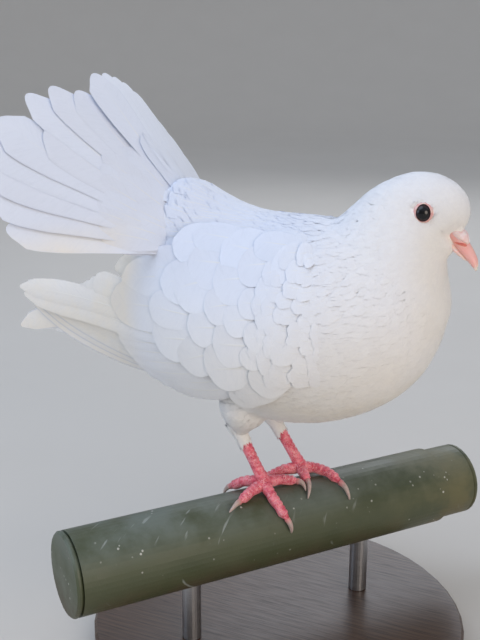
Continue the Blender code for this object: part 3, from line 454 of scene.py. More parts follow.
def placed_effect(tree, name, **values):
    made = tree.nodes.new("ShaderNodeGroup")
    made.node_tree = bpy.data.node_groups[name]
    for label, value in values.items():
        feed(tree, made.inputs[label.replace("_", " ").capitalize()], value)
    return made.outputs


def make_white_effect():
    """The bird's white, with painted light: a painted cool sky tint on the upper and rear parts, and a creamy
    wash low on the breast, belly and face that is partly real colour and partly painted warm bounce light
    from below.
    """
    tree, taken, given = effect("dove_white", {"Cream": 1.0, "Mottle": 0.5}, {"Colour": "Color"})
    place = object_place(tree)
    x, _, z = split(tree, place)
    # A creamy wash, partly real colour and partly painted warm bounce light from below, on the lower breast,
    # belly and face; the lowest tail feather gets a creamy stain.
    low = between(tree, z, 0.205, 0.135)
    front = between(tree, x, -0.05, 0.03)
    face = times(tree, between(tree, x, 0.064, 0.084), between(tree, z, 0.246, 0.226))
    cream = times(tree, low, front)
    cream = maths(tree, "MAXIMUM", cream, times(tree, face, 0.7))
    lowest = times(tree, between(tree, z, 0.236, 0.216), between(tree, x, -0.055, -0.08))
    cream = maths(tree, "MAXIMUM", cream, times(tree, lowest, 3.2))
    cream = times(tree, cream, taken["Cream"])
    patches = between(tree, noise(tree, place, 45, 4), 0.35, 0.7, 0.75, 1.1)
    cream = maths(tree, "MULTIPLY", cream, patches, clamp=True)
    white = mixed(tree, noise(tree, place, 26, 3), (0.90, 0.905, 0.925, 1), (0.92, 0.92, 0.93, 1))
    # Painted sky light: the upper parts, and the rear with the tail and wing tips, are tinted cool blue as if
    # lit from above.
    upper = times(tree, between(tree, z, 0.165, 0.215), between(tree, x, 0.055, 0.0))
    upper = maths(tree, "MAXIMUM", upper, between(tree, x, -0.03, -0.09))
    white = mixed(tree, upper, white, (0.80, 0.85, 0.96, 1))
    # Mixes in the creamy wash with its painted warm bounce light.
    warm = mixed(tree, cream, white, (0.91, 0.855, 0.76, 1))
    shade = between(tree, noise(tree, place, 700, 2), 0.3, 0.7)
    darker = times(tree, shade, times(tree, taken["Mottle"], 0.12))
    tree.links.new(mixed(tree, darker, warm, (0.66, 0.67, 0.70, 1)), given["Colour"])


def make_barb_effect():
    """The barbs of a vane, slanting from its shaft to its edge, and the shaft itself."""
    tree, taken, given = effect(
        "barb_lines", {"Lines": 40.0, "Slant": 0.35, "Shaft width": 0.03},
        {"Height": "Float", "Shaft": "Float", "Tone": "Float", "Edge": "Float"})
    across, along, _ = split(tree, vane_place(tree))
    edge = mark(tree, "edge")
    # The band along a vane's edge, where the vane's colour gets painted shadow.
    tree.links.new(between(tree, edge, 0.80, 0.99), given["Edge"])
    off = apart(tree, across, 0.5)
    tone = mark(tree, "tone")
    slid = maths(tree, "SUBTRACT", along, times(tree, off, taken["Slant"]))
    line = times(tree, slid, taken["Lines"])
    row = maths(tree, "ADD", times(tree, across, 3.0), times(tree, tone, 90.0))
    fine = noise(tree, node(tree, "CombineXYZ", {"X": line, "Y": row}).outputs[0], 1.0, 2, 0.6)
    shaft = between(tree, off, taken["Shaft width"], 0.0)
    shaft = times(tree, shaft, between(tree, along, 0.95, 0.5))
    tree.links.new(maths(tree, "ADD", fine, times(tree, shaft, 0.8)), given["Height"])
    tree.links.new(shaft, given["Shaft"])
    tree.links.new(tone, given["Tone"])


def make_wear_effect():
    """Specks, scratches and smears over a surface."""
    tree, taken, given = effect("weathering", {"Grain": 1.0}, {
        "Specks": "Float", "Scratches": "Float", "Smears": "Float", "Height": "Float"})
    place = node(tree, "VectorMath", {0: object_place(tree), "Scale": taken["Grain"]},
                 operation="SCALE").outputs[0]
    cells = node(tree, "TexVoronoi", {"Vector": place, "Scale": 260.0}).outputs["Distance"]
    chosen = between(tree, noise(tree, place, 70, 3), 0.55, 0.66)
    specks = times(tree, between(tree, cells, 0.20, 0.10), chosen)
    turned = stretched(tree, place, (320, 40, 40), (0.3, 0.5, RAIL_TURN + 0.5))
    thin = between(tree, noise(tree, turned, 1.0, 2), 0.66, 0.73)
    scratches = times(tree, thin, between(tree, noise(tree, place, 24, 2), 0.46, 0.6))
    tree.links.new(specks, given["Specks"])
    tree.links.new(scratches, given["Scratches"])
    tree.links.new(noise(tree, place, 30, 6, 0.62), given["Smears"])
    tree.links.new(noise(tree, place, 900, 3), given["Height"])


def new_material(name):
    material = bpy.data.materials.new(name)
    material.use_nodes = True
    tree = material.node_tree
    return material, tree, tree.nodes["Principled BSDF"]


def bumped(tree, shader, height, relief):
    """Raises the surface by up to a relief in millimetres."""
    bump = node(tree, "Bump", {"Height": height, "Distance": relief * MM, "Strength": 1.0})
    tree.links.new(bump.outputs[0], shader.inputs["Normal"])


def set_shader(tree, shader, colour, **values):
    """The shader's colour, and its other inputs by name, each a value or a socket."""
    feed(tree, shader.inputs["Base Color"], colour)
    for label, value in values.items():
        feed(tree, shader.inputs[label.replace("_", " ")], value)


def skin_white():
    material, tree, shader = new_material("plumage_underlayer")
    white = placed_effect(tree, "dove_white", cream=1.0, mottle=1.0)["Colour"]
    set_shader(tree, shader, white, Roughness=0.85, Sheen_Weight=0.15)
    bumped(tree, shader, noise(tree, stretched(tree, object_place(tree), (250, 900, 500)), 1.0, 4), 0.5)
    return material


def vane_white(name, cream, lines, slant, shaft_width, relief, roughness, sheen, painted_edge_shadow=0.0):
    material, tree, shader = new_material(name)
    white = placed_effect(tree, "dove_white", cream=cream, mottle=0.35)["Colour"]
    barbs = placed_effect(tree, "barb_lines", lines=lines, slant=slant, shaft_width=shaft_width)
    # A vane's own random tone darkens it a little; a tone above one is painted shadow in a fold of the face.
    dull = maths(tree, "ADD", between(tree, barbs["Tone"], 0.0, 1.0, 0.0, 0.10),
                 between(tree, barbs["Tone"], 1.0, 2.0, 0.0, 0.55))
    toned = mixed(tree, dull, white, (0.66, 0.64, 0.66, 1))
    quill = mixed(tree, times(tree, barbs["Shaft"], 0.5), toned, (0.90, 0.88, 0.82, 1))
    # Painted shade: bluish grey in the hollows between the barbs, and painted shadow in the band along a
    # vane's edge, where overlapping feathers meet.
    painted_barb_and_edge_shade = between(tree, barbs["Height"], 0.25, 0.55, 0.08, 0.0)
    painted_barb_and_edge_shade = maths(tree, "MAXIMUM", painted_barb_and_edge_shade, times(tree, barbs["Edge"], painted_edge_shadow))
    colour = mixed(tree, painted_barb_and_edge_shade, quill, (0.52, 0.56, 0.66, 1))
    set_shader(tree, shader, colour, Roughness=roughness, Sheen_Weight=sheen, Sheen_Roughness=0.4,
               Subsurface_Weight=0.1, Subsurface_Scale=0.002, Subsurface_Radius=(1, 0.95, 0.95))
    bumped(tree, shader, barbs["Height"], relief)
    return material


def eye_material():
    material, tree, shader = new_material("dark_eye")
    place = vane_place(tree)
    _, turn, _ = split(tree, place)
    rays = noise(tree, stretched(tree, place, (60, 6, 1)), 1, 3)
    brown = mixed(tree, rays, (0.010, 0.005, 0.006, 1), (0.026, 0.010, 0.010, 1))
    rim = mixed(tree, between(tree, turn, IRIS - 0.03, IRIS), brown, (0.012, 0.006, 0.008, 1))
    colour = mixed(tree, between(tree, turn, PUPIL - 0.012, PUPIL + 0.006), (0.003, 0.003, 0.004, 1), rim)
    set_shader(tree, shader, colour, Roughness=0.3, Specular_IOR_Level=0.1, Coat_Weight=0.7,
               Coat_Roughness=0.02)
    bumped(tree, shader, rays, 0.03)
    return material


def soft_skin(name, pale, deep, grain, relief, roughness):
    """Bare skin: two tones mottled together, and fine bumps."""
    material, tree, shader = new_material(name)
    place = object_place(tree)
    mottle = between(tree, noise(tree, place, 420, 4), 0.35, 0.65)
    set_shader(tree, shader, mixed(tree, mottle, pale, deep), Roughness=roughness,
               Subsurface_Weight=0.2, Subsurface_Scale=0.001)
    cells = node(tree, "TexVoronoi", {"Vector": place, "Scale": grain}).outputs["Distance"]
    bumped(tree, shader, cells, relief)
    return material


def bill_material(name, dull, bright):
    """Pink horn: salmon round the nostrils, paler at the tip."""
    material, tree, shader = new_material(name)
    round_, along, _ = split(tree, vane_place(tree))
    place = object_place(tree)
    base = mixed(tree, noise(tree, place, 260, 4), dull, bright)
    side = between(tree, apart(tree, apart(tree, round_, 0.5), 0.42), 0.11, 0.02)
    near = times(tree, between(tree, along, 0.22, 0.34), between(tree, along, 0.56, 0.44))
    salmon = mixed(tree, times(tree, side, near), base, (0.74, 0.16, 0.09, 1))
    pale = mixed(tree, between(tree, along, 0.86, 0.98), salmon, (0.87, 0.74, 0.66, 1))
    set_shader(tree, shader, pale, Roughness=0.38, Subsurface_Weight=0.25, Subsurface_Scale=0.0015,
               Coat_Weight=0.15)
    fibres = noise(tree, stretched(tree, place, (300, 900, 300)), 1, 3)
    bumped(tree, shader, fibres, 0.08)
    return material


def leg_material():
    """Crimson scaled skin: pale worn edges on the plates, small scales between them."""
    material, tree, shader = new_material("crimson_scales")
    place = object_place(tree)
    blotches = between(tree, noise(tree, place, 300, 4), 0.3, 0.7)
    base = mixed(tree, blotches, (0.62, 0.05, 0.10, 1), (0.95, 0.24, 0.30, 1))
    cells = node(tree, "TexVoronoi", {"Vector": place, "Scale": 900.0},
                 feature="DISTANCE_TO_EDGE").outputs["Distance"]
    seams = between(tree, cells, 0.14, 0.0)
    seams = times(tree, seams, between(tree, noise(tree, place, 220, 3), 0.3, 0.65))
    scaly = mixed(tree, times(tree, seams, 0.75), base, (0.92, 0.55, 0.56, 1))
    soft = mixed(tree, times(tree, mark(tree, "pad"), 0.6), scaly, (0.74, 0.36, 0.33, 1))
    worn = times(tree, mark(tree, "plate_edge"), between(tree, noise(tree, place, 600, 3), 0.42, 0.62))
    colour = mixed(tree, times(tree, worn, 0.55), soft, (0.92, 0.58, 0.56, 1))
    set_shader(tree, shader, colour, Roughness=0.42, Subsurface_Weight=0.15, Subsurface_Scale=0.001)
    grain = times(tree, noise(tree, place, 2500, 2), 0.3)
    bumped(tree, shader, maths(tree, "ADD", cells, grain), 0.12)
    return material


def claw_material():
    material, tree, shader = new_material("claw_horn")
    _, along, _ = split(tree, vane_place(tree))
    streaks = noise(tree, stretched(tree, object_place(tree), (900, 900, 250)), 1, 3)
    horn = mixed(tree, streaks, (0.36, 0.25, 0.22, 1), (0.66, 0.53, 0.47, 1))
    colour = mixed(tree, between(tree, along, 0.35, 0.0), horn, (0.72, 0.24, 0.24, 1))
    set_shader(tree, shader, colour, Roughness=0.35, Subsurface_Weight=0.1, Subsurface_Scale=0.001)
    bumped(tree, shader, streaks, 0.06)
    return material


def rail_material():
    """Dark green paint, weathered: algae low down, dust above, pale specks and scratches."""
    material, tree, shader = new_material("weathered_green_paint")
    place = object_place(tree)
    wear = placed_effect(tree, "weathering", grain=1.0)
    _, y, z = split(tree, place)
    green = mixed(tree, noise(tree, place, 60, 4), (0.050, 0.062, 0.028, 1), (0.088, 0.100, 0.052, 1))
    low = times(tree, between(tree, z, 0.068, 0.045), between(tree, wear["Smears"], 0.35, 0.6))
    algae = mixed(tree, times(tree, low, 0.75), green, (0.085, 0.052, 0.030, 1))
    top = times(tree, between(tree, z, 0.070, 0.087), between(tree, wear["Smears"], 0.3, 0.65))
    dusty = mixed(tree, times(tree, top, 0.6), algae, (0.19, 0.225, 0.205, 1))
    far = times(tree, between(tree, y, 0.01, 0.09), between(tree, wear["Smears"], 0.3, 0.6))
    dusty = mixed(tree, times(tree, far, 0.55), dusty, (0.20, 0.17, 0.075, 1))
    marked = mixed(tree, times(tree, wear["Scratches"], 0.7), dusty, (0.33, 0.36, 0.33, 1))
    spotted = mixed(tree, times(tree, wear["Specks"], 0.85), marked, (0.62, 0.62, 0.56, 1))
    set_shader(tree, shader, spotted, Roughness=between(tree, wear["Smears"], 0.3, 0.7, 0.34, 0.62))
    marks = maths(tree, "SUBTRACT", times(tree, wear["Specks"], 0.8), times(tree, wear["Scratches"], 0.6))
    bumped(tree, shader, maths(tree, "ADD", times(tree, wear["Height"], 0.35), marks), 0.18)
    return material


def rod_material():
    material, tree, shader = new_material("brushed_rods")
    brushed = noise(tree, stretched(tree, object_place(tree), (180, 180, 3000)), 1, 3)
    colour = mixed(tree, brushed, (0.34, 0.34, 0.35, 1), (0.56, 0.56, 0.57, 1))
    set_shader(tree, shader, colour, Metallic=1.0, Roughness=between(tree, brushed, 0.2, 0.8, 0.28, 0.5))
    bumped(tree, shader, brushed, 0.05)
    return material


def wood_material():
    """Dark stained wood under a satin varnish."""
    material, tree, shader = new_material("dark_stained_wood")
    place = object_place(tree)
    bent = noise(tree, stretched(tree, place, (6, 24, 24)), 1.0, 4, 0.5)
    rings = node(tree, "TexWave", {"Vector": stretched(tree, place, (8, 90, 90)), "Scale": 1.0,
                                   "Distortion": 6.0, "Detail": 3.0, "Detail Scale": 1.2},
                 bands_direction="Y").outputs["Fac"]
    pores = noise(tree, stretched(tree, place, (60, 1400, 1400)), 1, 3)
    grain = mixed(tree, rings, (0.060, 0.031, 0.018, 1), (0.088, 0.047, 0.027, 1))
    grain = mixed(tree, between(tree, bent, 0.3, 0.7, 0, 0.5), grain, (0.06, 0.03, 0.018, 1))
    colour = mixed(tree, between(tree, pores, 0.52, 0.66, 0, 0.7), grain, (0.018, 0.01, 0.007, 1))
    set_shader(tree, shader, colour, Roughness=between(tree, pores, 0.3, 0.7, 0.3, 0.46),
               Coat_Weight=0.25, Coat_Roughness=0.25)
    bumped(tree, shader, pores, 0.06)
    return material


def floor_material():
    """Plain and pale, with a faint mottle."""
    material, tree, shader = new_material("pale_floor")
    mottle = noise(tree, object_place(tree), 9, 3)
    colour = mixed(tree, mottle, (0.60, 0.565, 0.51, 1), (0.63, 0.595, 0.54, 1))
    set_shader(tree, shader, colour, Roughness=0.8)
    return material


def make_finishes():
    make_white_effect()
    make_barb_effect()
    make_wear_effect()
    return {
        "skin": skin_white(),
        "down": vane_white("contour_feathers", 1.0, 9, 0.5, 0.04, 0.05, 0.75, 0.3),
        "covert": vane_white("covert_feathers", 0.6, 22, 0.35, 0.03, 0.06, 0.7, 0.3),
        # The last value is the strength of the painted shadow along the edges of the flight feathers.
        "quill": vane_white("flight_feathers", 0.3, 70, 0.16, 0.035, 0.08, 0.6, 0.25, 0.5),
        "eye": eye_material(),
        "lid": soft_skin("eyelid_skin", (0.86, 0.58, 0.54, 1), (0.72, 0.36, 0.34, 1), 1500, 0.12, 0.45),
        "cere": soft_skin("cere_powder", (0.90, 0.77, 0.76, 1), (0.84, 0.60, 0.58, 1), 2200, 0.06, 0.6),
        "bill": bill_material("bill_pink", (0.86, 0.40, 0.35, 1), (0.91, 0.52, 0.47, 1)),
        "under": bill_material("bill_pale_pink", (0.88, 0.60, 0.53, 1), (0.91, 0.72, 0.65, 1)),
        "nostril": soft_skin("nostril_salmon", (0.80, 0.26, 0.18, 1), (0.60, 0.13, 0.10, 1), 1500, 0.05, 0.5),
        "leg": leg_material(),
        "claw": claw_material(),
        "rail": rail_material(),
        "rod": rod_material(),
        "wood": wood_material(),
        "floor": floor_material(),
    }


# Pieces.


def add_piece(name, mesh, finish, slot, *nodes):
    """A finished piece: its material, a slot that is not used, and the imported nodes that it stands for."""
    mesh.name = name
    mesh.materials.append(finish)
    piece = bpy.data.objects.new(name, mesh)
    bpy.context.scene.collection.objects.link(piece)
    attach(piece, "root")
    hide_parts(*nodes)
    return piece


def new_mesh(bm, name="form"):
    mesh = bpy.data.meshes.new(name)
    bm.to_mesh(mesh)
    bm.free()
    mesh.shade_smooth()
    return mesh


def closed_form(columns, rows, place, marks=()):
    """A closed form: place gives the point at (round, along), each 0 to 1, and marks its attributes."""
    bm = bmesh.new()
    uv = bm.loops.layers.uv.new("vane")
    bake = bm.loops.layers.uv.new("OFBake")
    layers = [bm.verts.layers.float.new(name) for name in marks]
    bmesh.ops.create_grid(bm, x_segments=columns, y_segments=rows, size=0.5)
    for face in bm.faces:
        for loop in face.loops:
            x, y, _ = loop.vert.co
            loop[uv].uv = (x + 0.5, y + 0.5)
            loop[bake].uv = (x * 0.98 + 0.5, y * 0.98 + 0.5)
    for vertex in bm.verts:
        found = place(vertex.co.x + 0.5, vertex.co.y + 0.5)
        if marks:
            found, values = found
            for layer, value in zip(layers, values):
                vertex[layer] = value
        vertex.co = found
    bmesh.ops.remove_doubles(bm, verts=bm.verts, dist=0.002 * MM)
    bmesh.ops.holes_fill(bm, edges=[edge for edge in bm.edges if edge.is_boundary])
    bmesh.ops.recalc_face_normals(bm, faces=bm.faces)
    return new_mesh(bm)


def modified(mesh, *modifiers):
    """The mesh after modifiers, each a kind and its settings."""
    carrier = bpy.data.objects.new("carrier", mesh)
    bpy.context.scene.collection.objects.link(carrier)
    for kind, settings in modifiers:
        modifier = carrier.modifiers.new(kind.title(), kind)
        for key, value in settings.items():
            setattr(modifier, key, value)
    graph = bpy.context.evaluated_depsgraph_get()
    made = bpy.data.meshes.new_from_object(carrier.evaluated_get(graph))
    bpy.data.objects.remove(carrier)
    return made


# Vanes.


def vane_template(columns, rows, outline, tip_round):
    """A thin closed vane: how far across and along each vertex is, which side it is on, its faces."""
    bm = bmesh.new()
    side = bm.verts.layers.float.new("side")
    underneath = bm.faces.layers.int.new("underneath")
    bmesh.ops.create_grid(bm, x_segments=columns, y_segments=rows, size=1)
    back = bmesh.ops.duplicate(bm, geom=list(bm.verts) + list(bm.edges) + list(bm.faces))["geom"]
    back_faces = [part for part in back if isinstance(part, bmesh.types.BMFace)]
    back_verts = {part for part in back if isinstance(part, bmesh.types.BMVert)}
    bmesh.ops.reverse_faces(bm, faces=back_faces)
    for vertex in bm.verts:
        inner = not vertex.is_boundary
        vertex[side] = (-1.0 if vertex in back_verts else 1.0) if inner else 0.0
    for face in back_faces:
        face[underneath] = 1
    bmesh.ops.remove_doubles(bm, verts=[v for v in bm.verts if v.is_boundary], dist=1e-5)
    bm.verts.index_update()
    across, along, sides, edges = [], [], [], []
    for vertex in bm.verts:
        a, t = vertex.co.x, (vertex.co.y + 1) / 2
        edges.append(abs(a))
        t = t ** 0.8
        half = table_at(outline, t)[0]
        across.append(a * half)
        along.append(t - tip_round * a * a * smooth_step(t, 0.55, 1))
        sides.append(vertex[side])
    faces = [[v.index for v in face.verts] for face in bm.faces]
    made = {"across": np.array(across), "along": np.array(along), "side": np.array(sides),
            "edge": np.array(edges),
            "flat": np.array([face[underneath] == 1 for face in bm.faces]), "faces": np.array(faces)}
    bm.free()
    return made


SMALL_OUTLINE = ((0, 0.4), (0.35, 0.85), (0.7, 1.0), (0.88, 0.86), (1, 0.5))
HACKLE_OUTLINE = ((0, 0.45), (0.35, 0.95), (0.7, 0.85), (0.88, 0.55), (1, 0.18))
COVERT_OUTLINE = ((0, 0.35), (0.3, 0.8), (0.62, 1.0), (0.82, 0.92), (0.92, 0.70), (0.975, 0.42), (1, 0.14))
REMEX_OUTLINE = ((0, 0.5), (0.2, 0.85), (0.5, 1.0), (0.85, 0.95), (0.95, 0.7), (1, 0.28))
RECTRIX_OUTLINE = ((0, 0.16), (0.3, 0.4), (0.55, 0.72), (0.82, 1.0), (0.93, 1.0), (0.98, 0.88), (1, 0.66))


def through_thirds(t):
    """How much each of four points, at thirds of the way, counts for a point of the curve."""
    a, b, c, d = THIRDS
    return np.stack([(t - b) * (t - c) * (t - d) / ((a - b) * (a - c) * (a - d)),
                     (t - a) * (t - c) * (t - d) / ((b - a) * (b - c) * (b - d)),
                     (t - a) * (t - b) * (t - d) / ((c - a) * (c - b) * (c - d)),
                     (t - a) * (t - b) * (t - c) / ((d - a) * (d - b) * (d - c))], axis=1)


def mark_points(mesh, name, values):
    mesh.attributes.new(name, "FLOAT", "POINT").data.foreach_set("value", values.astype(np.float32))


def add_uv(mesh, name, places):
    mesh.uv_layers.new(name=name).data.foreach_set("uv", places.reshape(-1).astype(np.float32))


def vane_mesh(name, template, feathers, thickness, softness, patches=None, edge_shadow_strength=0.3, tones=0):
    """Many vanes as one mesh. A feather is its four points, sides, normals, half width and crown.

    Softness turns the shading of each vane towards that of the smooth form it lies on. The edge shadow
    strength says how far the painted shadow along its edges shows. The tone values raise a vane's tone above
    one, which darkens it with painted shadow of a fold in the face. Patches are places on the unwrapped skin;
    without them each vane has a cell of its own and its edges are marked."""
    spines, sides, normals, halves, crowns = (np.array([f[i] for f in feathers], float) for i in range(5))
    turned = np.einsum("nc,nc->n", np.cross(sides[:, 1], spines[:, 3] - spines[:, 0]), normals[:, 1]) < 0
    sides[turned] *= -1
    basis = through_thirds(template["along"])
    spine = np.einsum("kj,njc->nkc", basis, spines)
    side = np.einsum("kj,njc->nkc", basis, sides)
    normal = np.einsum("kj,njc->nkc", basis, normals)
    crown = np.einsum("kj,nj->nk", basis, crowns.reshape(len(feathers), -1) * np.ones((1, 4)))
    across = template["across"]
    thick = np.broadcast_to(thickness, len(feathers))[:, None]
    rise = crown * (1 - across**2) + template["side"] * thick / 2
    points = spine + side * (across[None, :, None] * halves[:, None, None]) + normal * rise[:, :, None]
    count, size = points.shape[:2]
    faces = template["faces"]
    corners = (faces[None] + (np.arange(count) * size)[:, None, None]).reshape(-1)
    mesh = bpy.data.meshes.new(name)
    mesh.vertices.add(count * size)
    mesh.vertices.foreach_set("co", points.reshape(-1).astype(np.float32))
    mesh.loops.add(len(corners))
    mesh.loops.foreach_set("vertex_index", corners.astype(np.int32))
    mesh.polygons.add(count * len(faces))
    mesh.polygons.foreach_set("loop_start", np.arange(0, len(corners), 4, dtype=np.int32))
    mesh.update(calc_edges=True)
    flat = np.tile(template["flat"], count)
    mesh.attributes.new("sharp_face", "BOOLEAN", "FACE").data.foreach_set("value", flat)
    rng = np.random.default_rng(SEED)
    # Each vane's random tone, plus painted shadow for a vane that lies in a fold of the face.
    tone = np.repeat(rng.random(count) + tones, size)
    mark_points(mesh, "tone", tone)
    if patches is None:
        # How far the painted shadow along each vane's edges shows.
        mark_points(mesh, "edge", (np.broadcast_to(edge_shadow_strength, count)[:, None] * template["edge"]).reshape(-1))
    local = np.stack([template["across"] / 2 + 0.5, np.clip(template["along"], 0, 1)], axis=1)
    local = local[faces.reshape(-1)]
    add_uv(mesh, "vane", np.tile(local, (count, 1)))
    if patches is None:  # large feathers each have their own cell
        across_cells = math.ceil(math.sqrt(count))
        cell = 1 / across_cells
        corner = np.stack([np.arange(count) % across_cells, np.arange(count) // across_cells], axis=1) * cell
        baked = corner[:, None] + (local * 0.94 + 0.03)[None] * cell
    else:
        baked = np.array(patches)[:, None] + (local * 0.003)[None]
    add_uv(mesh, "OFBake", baked)
    own = np.zeros(len(corners) * 3, np.float32)
    mesh.corner_normals.foreach_get("vector", own)
    smooth = normal.reshape(-1, 3)[corners]
    smooth /= np.linalg.norm(smooth, axis=1, keepdims=True)
    smooth[np.repeat(flat, 4)] *= -1
    share = np.repeat(np.broadcast_to(softness, count), template["faces"].size)[:, None]
    blend = own.reshape(-1, 3) * (1 - share) + smooth * share
    mesh.normals_split_custom_set(blend / np.linalg.norm(blend, axis=1, keepdims=True))
    return mesh


# The skin under the plumage.


def wing_point(side, x, height, depth):
    """A point of the wing, depth below its outer face."""
    _, _, half_width, middle, half_height, _ = table_at(WING, x)
    slope = abs(height - middle) / half_height
    past = max(slope - OVER_THE_BACK, 0) * half_height
    rise = math.asin(min(slope, OVER_THE_BACK)) + past / half_width
    rise = math.copysign(rise, height - middle)
    depth += SINKS_TO_BACK * past if height > middle else 0
    out = Vector((0, side * math.cos(rise), math.sin(rise)))
    fall, start, end = LEFT_TIP_DROP
    middle -= fall * smooth_step(-x, start, end) if side > 0 else 0
    face = mm((x, side * half_width * math.cos(rise), middle + half_height * math.sin(rise)))
    return face - out * depth * MM


def wing_core(side):
    """The flesh of the folded wing, from the shoulder back, its edges tapered."""
    def place(round_, along):
        x = WING_CORE_END + (WING[-1][0] - WING_CORE_END) * along
        low, high, _, _, _, thickness = table_at(WING, x)
        bite = WING_BITE * smooth_step(x, WING_CORE_END, WING_CORE_END + 25)
        face = WING_CORE_SUNK * (1 - smooth_step(x, -50, 36)) + 0.8
        outer = round_ <= 0.5
        t = round_ * 2 if outer else 2 - round_ * 2
        height = low + WING_CORE_INSIDE + (high - low - 2 * WING_CORE_INSIDE) * t
        share = min(t, 1 - t, 0.3) / 0.3
        depth = face if outer else face + 0.8 + share * (thickness + bite - 0.8)
        return wing_point(side, x, height, depth)
    return closed_form(24, 24, place)


def tail_direction(turn):
    """The way a tail feather points, by its turn from the middle of the fan."""
    middle = Vector((-math.cos(TAIL_RISE), 0, math.sin(TAIL_RISE)))
    lean = Vector((-math.sin(TAIL_LEAN), 0, 0)) * abs(math.sin(turn)) ** 1.3
    sideways = Vector((0, math.cos(TAIL_LEAN), 0)) * math.sin(turn)
    return (middle * math.cos(turn) + lean + sideways).normalized()


def tail_normal(turn):
    """Upwards and forwards out of the fan's front face."""
    across = tail_direction(turn + 0.01) - tail_direction(turn - 0.01)
    normal = across.cross(tail_direction(turn)).normalized()
    return normal if normal.x > 0 else -normal


def tail_root(turn):
    """Where a tail feather starts, by its turn from the middle of the fan."""
    x, _, z = TAIL_ROOT
    drop = TAIL_ROOT_DROP * (1 - math.cos(turn))
    return mm((x - drop / 2, TAIL_ROOT_SPREAD * math.sin(turn), z - drop))


def tail_pad():
    """The flesh and down round the roots of the tail feathers."""
    def place(round_, along):
        share = along * 2 - 1
        turn = share * TAIL_PAD_SPREAD
        front = round_ <= 0.5
        t = round_ * 2 if front else 2 - round_ * 2
        full = (TAIL_PAD_THICKNESS - 1.4) * (1 - 0.8 * abs(share) ** 3)
        thick = (0.7 + full * max(1 - t, 0) ** 1.1) * MM
        out = tail_normal(turn)
        point = tail_root(turn) + tail_direction(turn) * t * TAIL_PAD * MM
        return point + out * thick if front else point - out * thick * 0.7
    return closed_form(24, 28, place)


def make_skin(finish):
    """One closed skin for torso, neck, head, thighs, the wings' flesh and the tail's root."""
    flesh = ("torso", "neck", "head", "thigh_left", "thigh_right")
    bm = bmesh.new()
    for name in flesh:
        bm.from_mesh(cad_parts[name].data)
    bmesh.ops.remove_doubles(bm, verts=bm.verts, dist=0.01 * MM)
    bm.normal_update()
    for vertex in bm.verts:
        vertex.co += vertex.normal * SKIN_SWELL * MM
    for form in (wing_core(-1), wing_core(1), tail_pad()):
        bm.from_mesh(form)
    skin = modified(new_mesh(bm),
                    ("REMESH", {"mode": "VOXEL", "voxel_size": SKIN_VOXEL * MM}),
                    ("SMOOTH", {"factor": 0.5, "iterations": SKIN_SMOOTHING}))
    bm = bmesh.new()
    bm.from_mesh(skin)
    bm.normal_update()
    moves = [-vertex.normal * (SKIN_SWELL + coat_depth(vertex.co)) * MM for vertex in bm.verts]
    for vertex, move in zip(bm.verts, moves):
        vertex.co += move
        vertex.co += pinch_to_bill(vertex.co)
    bmesh.ops.smooth_vert(bm, verts=bm.verts, factor=0.4, use_axis_x=True, use_axis_y=True, use_axis_z=True)
    bake = bm.loops.layers.uv.new("OFBake")
    for face in bm.faces:
        middle = face.calc_center_median()
        for loop in face.loops:
            loop[bake].uv = skin_place(loop.vert.co, middle)
    return add_piece("plumage_skin", new_mesh(bm), finish, "plumage", *flesh)


def on_tail_root(point):
    """Whether a point in millimetres is up among the roots of the tail feathers."""
    return point[0] < -44 and point[2] > 206 and (Vector(point) - Vector(TAIL_ROOT)).length > 24


def bill_place(point):
    """A point along, across and above the bill."""
    x, y, z = Matrix.Rotation(-BILL_TURN, 3, "Z") @ (point - BILL_BASE) / MM
    _, along, up = bill_frame()
    return x * along.x + z * along.z, y, x * up.x + z * up.z


def bareness(point):
    """How far the head's feathers give way to the bill here."""
    along, _, up = bill_place(point)
    return smooth_step(along, -4.9, -2.3) * smooth_step(up, -3.6, -1.8) * (1 - smooth_step(up, 4.6, 6.4))


def pinch_to_bill(point):
    """The face narrows to the bill's own width where it starts."""
    along, across, up = bill_place(point)
    share = smooth_step(along, -8.0, -2.6) * smooth_step(up, -4.6, -2.0) * (1 - smooth_step(up, 4.6, 7.0))
    over = max(abs(across) - 2.6, 0)
    if share == 0 or over == 0:
        return Vector()
    inwards = Vector((0, -math.copysign(over * share * 0.94, across), 0))
    return Matrix.Rotation(BILL_TURN, 3, "Z") @ inwards * MM


def coat_depth(point):
    """How far the skin lies inside the outer form here, in millimetres: least on the face."""
    reach = (point - BILL_BASE).length / MM
    return FACE_COAT_DEPTH + (COAT_DEPTH - FACE_COAT_DEPTH) * smooth_step(reach, 12, 50)


def unrolled(across, up, middle_across, middle_up):
    """How far round a point lies, on the same side of the seam as the middle of its face."""
    turn = math.atan2(across, up) / (2 * math.pi) + 0.5
    if abs(turn - math.atan2(middle_across, middle_up) / (2 * math.pi) - 0.5) > 0.5:
        turn = round(1 - turn)
    return turn


def skin_place(point, middle):
    """A place on the unwrapped skin: the trunk unrolled round its length, head and neck round theirs."""
    x, y, z = point / MM
    middle_x, middle_y, middle_z = middle.x / MM, middle.y / MM, middle.z / MM
    if middle_x < NECK_FROM[0] or middle_z < NECK_FROM[1]:
        turn = unrolled(y, z - TRUNK_AXIS_HEIGHT, middle_y, middle_z - TRUNK_AXIS_HEIGHT)
        return 0.01 + 0.56 * turn, 0.01 + 0.97 * min(max((x + 95) / 182, 0), 1)
    turn = unrolled(y, x - NECK_AXIS, middle_y, middle_x - NECK_AXIS)
    return 0.60 + 0.38 * turn, 0.01 + 0.97 * min(max((z - 205) / 56, 0), 1)


BILL_BASE = turned_with_head(mm(BILL_ROOT))
BILL_TURN = HEAD_TURN * smooth_step(BILL_ROOT[2] * MM, TURN_FROM, TURN_WHOLE)


